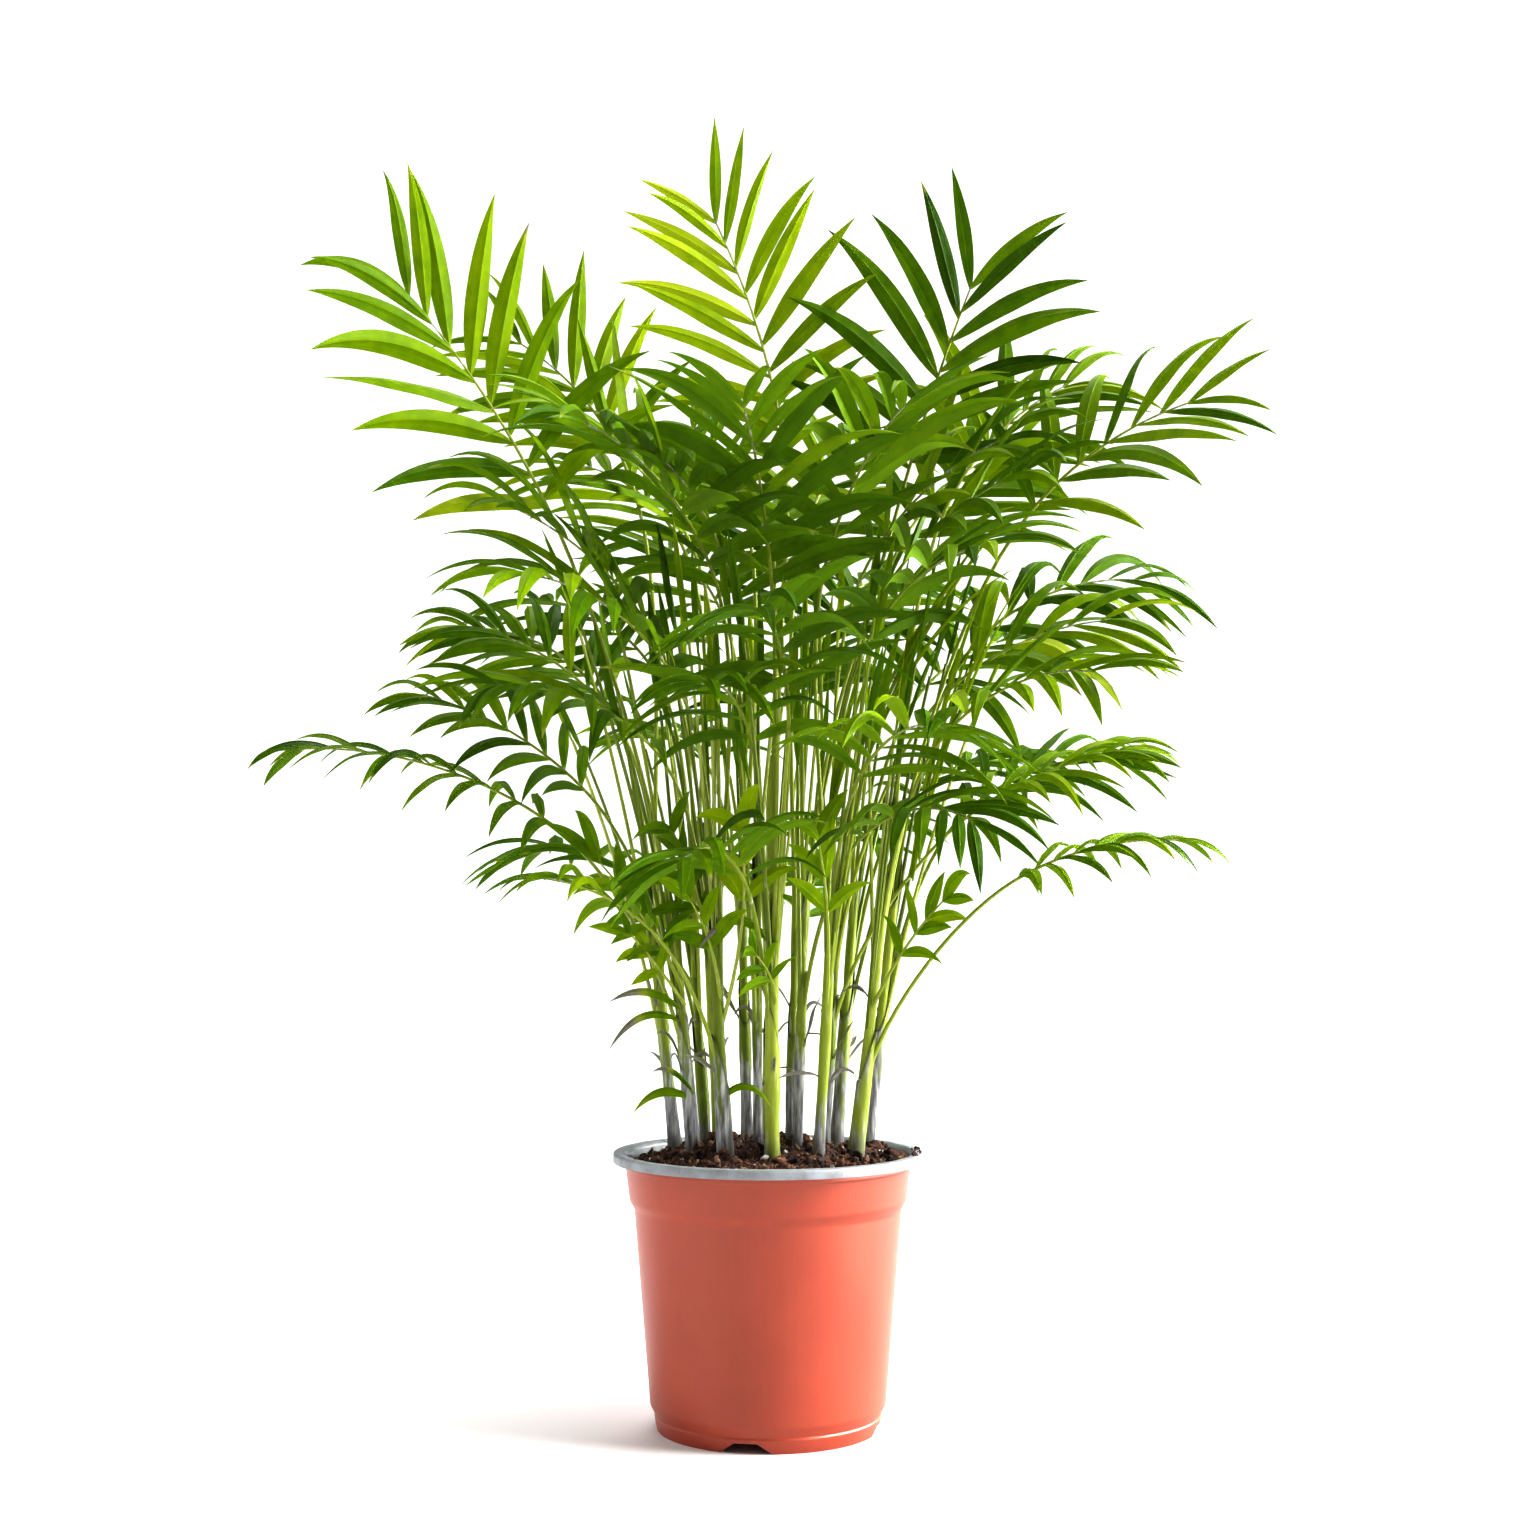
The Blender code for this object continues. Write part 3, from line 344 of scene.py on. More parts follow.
class Look:
    """A node material. Each method adds nodes and gives back the output that shows their result."""

    def __init__(self, name):
        self.material = bpy.data.materials.new(name)
        self.material.use_nodes = True
        self.tree = self.material.node_tree
        self.shader = self.tree.nodes["Principled BSDF"]

    def add(self, kind, inputs, output=0, **settings):
        node = self.tree.nodes.new(kind)
        for name, value in settings.items():
            setattr(node, name, value)
        for socket, value in inputs.items():
            self.put(node.inputs[socket], value)
        return node.outputs[output]

    def put(self, socket, value):
        if isinstance(value, bpy.types.NodeSocket):
            self.tree.links.new(value, socket)
        else:
            socket.default_value = value

    def mark(self, name):
        """A number that the mesh carries at each point."""
        return self.add("ShaderNodeAttribute", {}, "Fac", attribute_name=name)

    def noise(self, size, detail=3, stretch=(1, 1, 1), rough=0.55):
        """Noise whose features are about size across, in metres."""
        place = self.add("ShaderNodeTexCoord", {}, "Object")
        place = self.add("ShaderNodeMapping", {"Vector": place, "Scale": stretch})
        inputs = {"Vector": place, "Scale": 1 / size, "Detail": detail, "Roughness": rough}
        return self.add("ShaderNodeTexNoise", inputs)

    def calc(self, operation, *values):
        return self.add("ShaderNodeMath", dict(enumerate(values)), operation=operation)

    def around(self, value, centre, swing, noise_value):
        """value, plus the noise's swing about its middle."""
        swung = self.calc("MULTIPLY_ADD", noise_value, swing, -swing * centre)
        return self.calc("ADD", value, swung)

    def step(self, value, low, high):
        inputs = {"Value": value, "From Min": low, "From Max": high}
        return self.add("ShaderNodeMapRange", inputs, interpolation_type="SMOOTHSTEP")

    def ramp(self, value, *stops):
        output = self.add("ShaderNodeValToRGB", {"Fac": value})
        elements = output.node.color_ramp.elements
        while len(elements) < len(stops):
            elements.new(0.5)
        for element, (place, colour) in zip(elements, stops):
            element.position = place
            element.color = (*colour, 1)
        return output

    def mix(self, factor, one, two):
        node = self.tree.nodes.new("ShaderNodeMix")
        node.data_type = "RGBA"
        for socket, value in ((0, factor), (6, one), (7, two)):
            is_colour = isinstance(value, tuple)
            self.put(node.inputs[socket], (*value, 1) if is_colour else value)
        return node.outputs[2]

    def bump(self, height, depth, strength=1.0):
        return self.add("ShaderNodeBump", {"Height": height, "Distance": depth, "Strength": strength})

    def finish(self, colour, roughness, normal, specular=0.5):
        self.put(self.shader.inputs["Base Color"], colour)
        self.put(self.shader.inputs["Roughness"], roughness)
        self.put(self.shader.inputs["Normal"], normal)
        self.put(self.shader.inputs["Specular IOR Level"], specular)
        return self.material

    def let_through(self, colour, share):
        """Lets light through, as a leaf does."""
        output = self.tree.nodes["Material Output"]
        through = self.add("ShaderNodeBsdfTranslucent", {"Color": colour})
        inputs = {0: share, 1: self.shader.outputs[0], 2: through}
        self.tree.links.new(self.add("ShaderNodeMixShader", inputs), output.inputs["Surface"])


def grey(level):
    return (level, level, level)


def leaf_look():
    look = Look("palm_leaf")
    across, along = look.mark("across"), look.mark("along")
    away = look.calc("ABSOLUTE", across)
    mottle = look.noise(9 * MM, 4)
    tone = look.around(look.mark("tone"), 0.5, 0.45, mottle)
    green = look.ramp(
        tone, (0.0, (0.018, 0.060, 0.0)), (0.3, (0.075, 0.175, 0.0)),
        (0.6, (0.220, 0.350, 0.0)), (0.85, (0.41, 0.53, 0.002)), (1.0, (0.58, 0.66, 0.02)),
    )
    nerves = look.ramp(
        away, (0.0, grey(1)), (0.055, grey(0)), (0.44, grey(0)), (0.48, grey(0.7)),
        (0.52, grey(0)), (0.73, grey(0)), (0.76, grey(0.5)), (0.79, grey(0)),
    )
    broad = look.calc("SUBTRACT", 1.0, look.step(along, 0.45, 0.9))
    nerves = look.calc("MULTIPLY", nerves, broad)
    stripes = look.calc("SINE", look.calc("MULTIPLY", across, 42.0))
    stripes = look.calc("MULTIPLY", look.calc("MULTIPLY_ADD", stripes, 0.5, 0.5), broad)
    green = look.mix(look.calc("MULTIPLY", nerves, 0.4), green, (0.34, 0.50, 0.02))
    green = look.mix(look.calc("MULTIPLY", stripes, 0.18), green, (0.02, 0.09, 0.001))
    root = look.calc("SUBTRACT", 1.0, look.step(along, 0.0, 0.12))
    green = look.mix(look.calc("MULTIPLY", root, 0.6), green, (0.32, 0.44, 0.03))
    green = look.mix(look.calc("MULTIPLY", look.mark("under"), 0.4), green, (0.17, 0.30, 0.02))
    streak = look.noise(3 * MM, 3)
    withered = look.mix(streak, (0.16, 0.135, 0.13), (0.42, 0.38, 0.36))
    dry = look.around(look.mark("dry"), 0.5, 0.25, streak)
    green = look.mix(look.step(dry, 0.0, 0.45), green, (0.42, 0.46, 0.05))
    colour = look.mix(look.step(dry, 0.35, 0.85), green, withered)
    relief = look.calc("MULTIPLY_ADD", nerves, 0.5, mottle)
    rough = look.calc("MULTIPLY_ADD", mottle, 0.25, 0.3)
    material = look.finish(colour, rough, look.bump(relief, 0.25 * MM, 0.5), specular=0.05)
    look.let_through(look.mix(0.4, colour, (0.64, 0.82, 0.0)), 0.4)
    return material


def stalk_look():
    """Stems, sheaths, petioles and ribs: green, and papery grey where dry."""
    look = Look("palm_stalk")
    streak = look.noise(2.2 * MM, 4, stretch=(1, 1, 0.12))
    blotch = look.noise(14 * MM, 3, stretch=(1, 1, 0.4))
    tone = look.around(look.mark("tone"), 0.5, 0.4, streak)
    green = look.ramp(
        tone, (0.0, (0.05, 0.085, 0.004)), (0.4, (0.15, 0.20, 0.015)),
        (0.75, (0.29, 0.35, 0.04)), (1.0, (0.50, 0.55, 0.17)),
    )
    papery = look.ramp(
        streak, (0.30, (0.03, 0.025, 0.03)), (0.40, (0.15, 0.145, 0.16)),
        (0.52, (0.30, 0.30, 0.31)), (0.68, (0.56, 0.56, 0.52)),
    )
    dry = look.around(look.mark("dry"), 0.5, 1.4, blotch)
    dry = look.step(look.around(dry, 0.5, 1.6, streak), 0.25, 0.85)
    colour = look.mix(dry, green, papery)
    # Dark at the foot of a stem, and painted shade in the mouth and inside of each sheath
    dark = look.calc("MULTIPLY", look.mark("under"), look.step(streak, 0.3, 0.55))
    colour = look.mix(dark, colour, (0.028, 0.022, 0.022))
    rough = look.calc("MULTIPLY_ADD", dry, 0.3, 0.42)
    return look.finish(colour, rough, look.bump(streak, 0.4 * MM, 0.7), specular=0.15)


def terracotta_look():
    look = Look("terracotta_plastic")
    cloud, grain = look.noise(45 * MM, 3), look.noise(0.7 * MM, 2)
    drawn = look.noise(3 * MM, 3, stretch=(1, 1, 0.08))
    colour = look.ramp(
        cloud, (0.3, (0.34, 0.044, 0.014)), (0.7, (0.39, 0.056, 0.020)),
    )
    colour = look.mix(look.calc("MULTIPLY", drawn, 0.08), colour, (0.60, 0.16, 0.08))
    rough = look.calc("MULTIPLY_ADD", cloud, 0.12, 0.34)
    height = look.calc("MULTIPLY_ADD", drawn, 0.6, grain)
    return look.finish(colour, rough, look.bump(height, 0.12 * MM, 0.5), specular=0.6)


def grey_plastic_look():
    look = Look("grey_plastic")
    cloud, grain = look.noise(12 * MM, 5), look.noise(0.6 * MM, 3)
    colour = look.ramp(
        cloud, (0.3, (0.20, 0.20, 0.205)), (0.55, (0.29, 0.31, 0.33)), (0.75, (0.36, 0.40, 0.44)),
    )
    dirt = look.step(look.noise(2.5 * MM, 5, rough=0.7), 0.60, 0.72)
    colour = look.mix(look.calc("MULTIPLY", dirt, 0.7), colour, (0.09, 0.06, 0.045))
    return look.finish(colour, 0.48, look.bump(grain, 0.1 * MM, 0.5))


def soil_look():
    look = Look("damp_peat")
    lumps, crumbs = look.noise(7 * MM, 5, rough=0.65), look.noise(1.6 * MM, 4, rough=0.7)
    tone = look.around(look.mark("tone"), 0.5, 0.5, crumbs)
    colour = look.ramp(
        tone, (0.0, (0.010, 0.005, 0.004)), (0.35, (0.050, 0.021, 0.012)),
        (0.65, (0.14, 0.060, 0.033)), (0.85, (0.26, 0.13, 0.075)), (1.0, (0.50, 0.32, 0.21)),
    )
    # Painted shade: near black in the hollows, where the lumps noise that raises the bump is lowest
    colour = look.mix(look.step(lumps, 0.55, 0.35), colour, (0.012, 0.007, 0.005))
    height = look.calc("MULTIPLY_ADD", lumps, 2.0, crumbs)
    return look.finish(colour, 0.92, look.bump(height, 1.2 * MM), specular=0.25)


def perlite_look():
    look = Look("perlite")
    pits = look.noise(0.7 * MM, 4)
    colour = look.ramp(pits, (0.3, (0.42, 0.36, 0.30)), (0.6, (0.80, 0.77, 0.72)))
    return look.finish(colour, 0.85, look.bump(pits, 0.4 * MM))


def put_in_scene(name, data):
    made = bpy.data.objects.new(name, data)
    bpy.context.scene.collection.objects.link(made)
    return made


def add_object(name, bm):
    mesh = bpy.data.meshes.new(name)
    bm.to_mesh(mesh)
    bm.free()
    return put_in_scene(name, mesh)


MARKS = ("across", "along", "tone", "dry", "under")


class Mass:
    """Gathers closed pieces into one mesh, with the numbers that its materials read at each point."""

    def __init__(self):
        self.points, self.faces, self.sizes, self.looks, self.count = [], [], [], [], 0
        self.marks = {name: [] for name in MARKS}

    def loft(self, rings, look=0, **marks):
        """A closed piece through rings of corners, an array of ring, corner and coordinate."""
        rings = np.asarray(rings, float)
        many, corners = rings.shape[:2]
        low = (np.arange(many - 1)[:, None] * corners + np.arange(corners)).ravel()
        ahead = (np.arange(many - 1)[:, None] * corners + (np.arange(corners) + 1) % corners).ravel()
        quads = np.stack((low, ahead, ahead + corners, low + corners), 1)
        first, last = np.arange(corners)[::-1], np.arange(corners) + (many - 1) * corners
        flat = rings.reshape(-1, 3)
        middle = flat.mean(0)
        a, b, c, d = (flat[quads[:, k]] - middle for k in range(4))
        volume = (np.cross(a, b) * c).sum() + (np.cross(a, c) * d).sum()
        if volume < 0:
            quads, first, last = quads[:, ::-1], first[::-1], last[::-1]
        self.add(flat, [quads, first[None], last[None]], look, (many, corners), marks)

    def add(self, flat, groups, look, shape, marks):
        for faces in groups:
            self.faces.append((np.asarray(faces) + self.count).ravel())
            self.sizes.append(np.full(len(faces), faces.shape[1]))
            self.looks.append(np.full(len(faces), look))
        self.points.append(flat)
        self.count += len(flat)
        for name in MARKS:
            value = np.broadcast_to(np.asarray(marks.get(name, 0.0), float), shape)
            self.marks[name].append(value.ravel())

    def build(self, name, materials, smooth=True):
        mesh = bpy.data.meshes.new(name)
        points, faces = np.concatenate(self.points), np.concatenate(self.faces)
        sizes, looks = np.concatenate(self.sizes), np.concatenate(self.looks)
        mesh.vertices.add(len(points))
        mesh.vertices.foreach_set("co", points.ravel())
        mesh.loops.add(len(faces))
        mesh.loops.foreach_set("vertex_index", faces)
        mesh.polygons.add(len(sizes))
        mesh.polygons.foreach_set("loop_start", np.cumsum(sizes) - sizes)
        mesh.polygons.foreach_set("material_index", looks)
        mesh.update(calc_edges=True)
        for mark, values in self.marks.items():
            mesh.attributes.new(mark, "FLOAT", "POINT").data.foreach_set("value", np.concatenate(values))
        for material in materials:
            mesh.materials.append(material)
        if smooth:
            mesh.shade_smooth()
            mesh.set_sharp_from_angle(angle=SHARP)
        return put_in_scene(name, mesh)


def tube(points, alongs, uppers, widths, heights, sides):
    """Rings of an oval tube. An upper side goes with each point."""
    points, alongs, uppers = (np.array([tuple(v) for v in rows]) for rows in (points, alongs, uppers))
    asides = np.cross(alongs, uppers)
    turns = np.arange(sides) * 2 * math.pi / sides
    across = asides[:, None] * (np.cos(turns)[None, :, None] * np.asarray(widths)[:, None, None])
    upward = uppers[:, None] * (np.sin(turns)[None, :, None] * np.asarray(heights)[:, None, None])
    return points[:, None] + across + upward


def rounded(profile):
    """Points of a profile whose corners (radius, height, rounding) are turned into arcs."""
    made = []
    for number, (radius, height, rounding) in enumerate(profile):
        here = Vector((radius, height))
        if rounding == 0:
            made.append(here)
            continue
        back = Vector(profile[number - 1][:2]) - here
        onward = Vector(profile[(number + 1) % len(profile)][:2]) - here
        start = here + back.normalized() * min(rounding, 0.45 * back.length)
        end = here + onward.normalized() * min(rounding, 0.45 * onward.length)
        for step in range(ARC_STEPS + 1):
            share = step / ARC_STEPS
            made.append(start * (1 - share) ** 2 + here * 2 * share * (1 - share) + end * share**2)
    return made


def spin_profile(profile):
    bm = bmesh.new()
    points = [bm.verts.new(vector_mm(radius, 0, height)) for radius, height in profile]
    edges = [bm.edges.new(pair) for pair in zip(points, points[1:])]
    bmesh.ops.spin(
        bm, geom=points + edges, cent=(0, 0, 0), axis=UP, angle=2 * math.pi, steps=POT_STEPS
    )
    bmesh.ops.remove_doubles(bm, verts=bm.verts, dist=MERGE)
    bmesh.ops.recalc_face_normals(bm, faces=bm.faces)
    return bm


def notch_spins():
    """A turn about Z for each notch, with the drain hole behind it."""
    for number in range(NOTCHES):
        yield Matrix.Rotation(NOTCH_TURN + number * 2 * math.pi / NOTCHES, 4, "Z")


def pot_cutter():
    """Wedges for the notches in the foot and rods for the drain holes."""
    bm = bmesh.new()
    outline = (
        (NOTCH_FOOT / 2, -NOTCH_BELOW), (NOTCH_TOP / 2, NOTCH_HEIGHT),
        (-NOTCH_TOP / 2, NOTCH_HEIGHT), (-NOTCH_FOOT / 2, -NOTCH_BELOW),
    )
    for spin in notch_spins():
        corners = [spin @ Vector((NOTCH_FROM, across, height)) for across, height in outline]
        face = bm.faces.new([bm.verts.new(corner) for corner in corners])
        pushed = bmesh.ops.extrude_face_region(bm, geom=[face])["geom"]
        outward = spin @ Vector((NOTCH_TO - NOTCH_FROM, 0, 0))
        pushed = [item for item in pushed if isinstance(item, bmesh.types.BMVert)]
        bmesh.ops.translate(bm, vec=outward, verts=pushed)
        bmesh.ops.create_cone(
            bm, cap_ends=True, segments=DRAIN_SIDES, radius1=DRAIN_RADIUS, radius2=DRAIN_RADIUS,
            depth=DRAIN_TO - DRAIN_FROM,
            matrix=spin @ Matrix.Translation((DRAIN_RING, 0, (DRAIN_FROM + DRAIN_TO) / 2)),
        )
    bmesh.ops.recalc_face_normals(bm, faces=bm.faces)
    return add_object("pot_cutter", bm)


def is_grey(face):
    """The lip, the inside of the wall and the floor seen from above are the grey layer."""
    middle, normal = face.calc_center_median(), face.normal
    inward = normal.x * middle.x + normal.y * middle.y < 0 and middle.z > FLOOR_TOP
    floor = normal.z > 0.5 and abs(middle.z - FLOOR_TOP) < 0.5 * MM
    return middle.z > LIP_FOOT or inward or floor


def build_pot():
    bm = spin_profile(rounded(POT_INSIDE + POT_OUTSIDE))
    for face in bm.faces:
        face.material_index = int(is_grey(face))
    pot = add_object("nursery_pot", bm)
    pot.data.materials.append(terracotta_look())
    pot.data.materials.append(grey_plastic_look())
    cutter = pot_cutter()
    modifier = pot.modifiers.new("Notches and drains", "BOOLEAN")
    modifier.object, modifier.operation, modifier.solver = cutter, "DIFFERENCE", "EXACT"
    bpy.context.view_layer.update()
    evaluated = pot.evaluated_get(bpy.context.evaluated_depsgraph_get())
    pot.data = bpy.data.meshes.new_from_object(evaluated)
    pot.modifiers.clear()
    bpy.data.objects.remove(cutter)
    pot.data.shade_smooth()
    pot.data.set_sharp_from_angle(angle=POT_SHARP)
    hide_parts("pot")
    return pot


def soil_level(x, y):
    """Height of the soil: its level at the rim, a heap in the middle, mounds and lumps."""
    edge, level = SOIL_SIDE[-1][0] * MM, SOIL_SIDE[-1][1] * MM
    away = min(1.0, math.hypot(x, y) / edge)
    level += SOIL_HEAP * (1 - away**2) ** 1.5
    for mound_x, mound_y, wide, high in SOIL_MOUNDS:
        apart = math.hypot(x - mound_x * MM, y - mound_y * MM) / (wide * MM)
        level += high * MM * math.exp(-(apart**2))
    lumps = sum(high * noise.noise(Vector((x, y, wide * 9)) / wide) for wide, high in SOIL_LUMPS)
    return level + lumps * (1 - away**8)


def build_soil(look):
    mass = Mass()
    edge = SOIL_SIDE[-1][0] * MM
    turns = np.arange(SOIL_TURNS) * 2 * math.pi / SOIL_TURNS
    rounds = [(SOIL_SIDE[0][0] * MM * share, SOIL_SIDE[0][1] * MM) for share in (0.02, 0.5)]
    rounds += [(radius * MM, height * MM) for radius, height in SOIL_SIDE[:-1]]
    rounds += [(edge * (1 - share), None) for share in np.linspace(0, 0.99, SOIL_RINGS)]
    rings = []
    for radius, height in rounds:
        ring = []
        for turn in turns:
            x, y = radius * math.cos(turn), radius * math.sin(turn)
            ring.append((x, y, soil_level(x, y) if height is None else height))
        rings.append(ring)
    mass.loft(rings, tone=0.42)
    soil = mass.build("soil_plug", [look])
    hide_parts("soil")
    return soil


def ball(cuts):
    """Corners and triangles of a round ball of radius 1."""
    bm = bmesh.new()
    bmesh.ops.create_icosphere(bm, subdivisions=cuts, radius=1)
    corners = np.array([tuple(vert.co) for vert in bm.verts])
    faces = np.array([[vert.index for vert in face.verts] for face in bm.faces])
    bm.free()
    return corners, faces


def turned(draw, count):
    """Random rotations, one for each of count grains, as matrices."""
    w, x, y, z = draw.normal(size=(4, count)) + 1e-6
    size = np.sqrt(w * w + x * x + y * y + z * z)
    w, x, y, z = w / size, x / size, y / size, z / size
    rows = (
        (1 - 2 * (y * y + z * z), 2 * (x * y - w * z), 2 * (x * z + w * y)),
        (2 * (x * y + w * z), 1 - 2 * (x * x + z * z), 2 * (y * z - w * x)),
        (2 * (x * z - w * y), 2 * (y * z + w * x), 1 - 2 * (x * x + y * y)),
    )
    return np.moveaxis(np.array(rows), 2, 0)


def scatter(mass, draw, kind, places):
    """Lumpy grains of a kind at places on the soil."""
    _, _, cuts, small, large, tones, long = kind
    corners, faces = ball(cuts)
    count = len(places)
    radii = small * (large / small) ** (draw.random(count) ** GRAIN_RARE) * MM
    waves = draw.normal(scale=GRAIN_WAVES, size=(count, 3, 3))
    phases = draw.random((count, 3)) * 2 * math.pi
    swell = np.sin(np.einsum("nwk,vk->nvw", waves, corners) + phases[:, None, :]).sum(2)
    swell = 1 + GRAIN_SWELL * swell + draw.normal(scale=GRAIN_ROUGH, size=swell.shape)
    shape = corners[None] * swell[:, :, None]
    shape[:, :, 0] *= draw.uniform(1, long, count)[:, None]
    shape[:, :, 2] *= draw.uniform(*GRAIN_FLAT, count)[:, None]
    shape = np.einsum("nij,nvj->nvi", turned(draw, count), shape) * radii[:, None, None]
    shape += np.asarray(places)[:, None]
    shape[:, :, 2] += radii[:, None] * GRAIN_OUT
    starts = np.arange(count)[:, None, None] * len(corners)
    tone = np.repeat(draw.uniform(*tones, count), len(corners))
    flat = shape.reshape(-1, 3)
    mass.add(flat, [(faces[None] + starts).reshape(-1, 3)], 0, (len(flat),), {"tone": tone})


def soil_places(draw, count, margin):
    """Random places on the soil, inside the wall by a margin."""
    reach = (SOIL_SIDE[-1][0] - margin) * MM
    places = []
    for share, turn in draw.random((count, 2)):
        x = reach * math.sqrt(share) * math.cos(2 * math.pi * turn)
        y = reach * math.sqrt(share) * math.sin(2 * math.pi * turn)
        places.append((x, y, soil_level(x, y)))
    return places


def build_grains(look, pale_look):
    draw = np.random.default_rng(SEED)
    crumbs, perlite = Mass(), Mass()
    for kind in CRUMBS:
        scatter(crumbs, draw, kind, soil_places(draw, kind[1], kind[4]))
    spilled = []
    for turn, radius in draw.uniform(*SPILLED_WHERE, (SPILLED_CRUMBS[1], 2)):
        reach = radius * MM
        spilled.append((reach * math.cos(turn), reach * math.sin(turn), POT_OUTSIDE[0][1] * MM))
    scatter(crumbs, draw, SPILLED_CRUMBS, spilled)
    scatter(perlite, draw, PERLITE, soil_places(draw, PERLITE[1], PERLITE[4]))
    made = [crumbs.build("soil_crumbs", [look], smooth=False)]
    made.append(perlite.build("perlite_grains", [pale_look]))
    return [piece for piece in made]


def build_fibres(look):
    """Thin roots and threads of peat: most lie on the soil, a few stand out of it."""
    draw = random.Random(SEED)
    mass = Mass()
    for number in range(FIBRES + STANDING_FIBRES):
        standing = number >= FIBRES
        reach, turn = FIBRE_REACH * math.sqrt(draw.random()), draw.uniform(0, 2 * math.pi)
        x, y = reach * math.cos(turn), reach * math.sin(turn)
        heading = draw.uniform(0, 2 * math.pi)
        climb = draw.uniform(*FIBRE_CLIMB) if standing else 0
        step_long = draw.uniform(*FIBRE_STEP) * MM
        bend, points, lift = draw.uniform(-FIBRE_BEND, FIBRE_BEND), [], 0.0
        for step in range(FIBRE_POINTS):
            arch = FIBRE_ARCH * math.sin(step * math.pi / (FIBRE_POINTS - 1))
            points.append(Vector((x, y, soil_level(x, y) + lift + arch)))
            heading += bend + draw.uniform(-FIBRE_WANDER, FIBRE_WANDER)
            x += math.cos(heading) * math.cos(climb) * step_long
            y += math.sin(heading) * math.cos(climb) * step_long
            lift += math.sin(climb) * step_long
            climb *= 0.85
            shrink = min(1.0, FIBRE_LIMIT / max(math.hypot(x, y), MM))
            x, y = x * shrink, y * shrink
        alongs = [(b - a).normalized() for a, b in zip(points, points[1:])]
        alongs.append(alongs[-1])
        uppers = [(UP - along * along.z).normalized() for along in alongs]
        thick = np.linspace(1, 0.5, FIBRE_POINTS) * draw.uniform(*FIBRE_THICK) * MM
        rings = tube(points, alongs, uppers, thick, thick, FIBRE_CORNERS)
        mass.loft(rings, tone=draw.uniform(*FIBRE_TONES))
    return mass.build("peat_fibres", [look])


class Stem:
    """A palm's stem: a straight taper from its foot in the soil to its top."""

    girth = 1.0

    def __init__(self, foot_x, foot_y, top_z):
        self.foot = vector_mm(foot_x, foot_y, STEM_FOOT_Z)
        self.top = vector_mm(foot_x * STEM_LEAN, foot_y * STEM_LEAN, top_z)
        self.axis = (self.top - self.foot).normalized()
        self.side = self.axis.cross(Vector((0, 1, 0))).normalized()

    def middle(self, height):
        return self.foot + self.axis * ((height - self.foot.z) / self.axis.z)

    def slim(self, height):
        """Radius of the finer stem."""
        return float(np.interp(height / MM, *STEM_SLIMS)) * self.girth * MM

    def rings(self):
        rings = []
        for middle, radius in ((self.foot, STEM_FOOT_RADIUS), (self.top, STEM_TOP_RADIUS)):
            ring = []
            for corner in range(STEM_SIDES):
                turn = Matrix.Rotation(2 * math.pi * corner / STEM_SIDES, 3, self.axis)
                ring.append(middle + turn @ self.side * radius)
            rings.append(ring)
        return rings


def hermite(start, end, leave, arrive, share):
    """Point and direction on a cubic that leaves start and arrives at end with those slopes."""
    s, s2, s3 = share, share**2, share**3
    point = (
        start * (2 * s3 - 3 * s2 + 1) + leave * (s3 - 2 * s2 + s)
        + end * (3 * s2 - 2 * s3) + arrive * (s3 - s2)
    )
    slope = (
        start * (6 * s2 - 6 * s) + leave * (3 * s2 - 4 * s + 1)
        + end * (6 * s - 6 * s2) + arrive * (3 * s2 - 2 * s)
    )
    return point, slope.normalized()


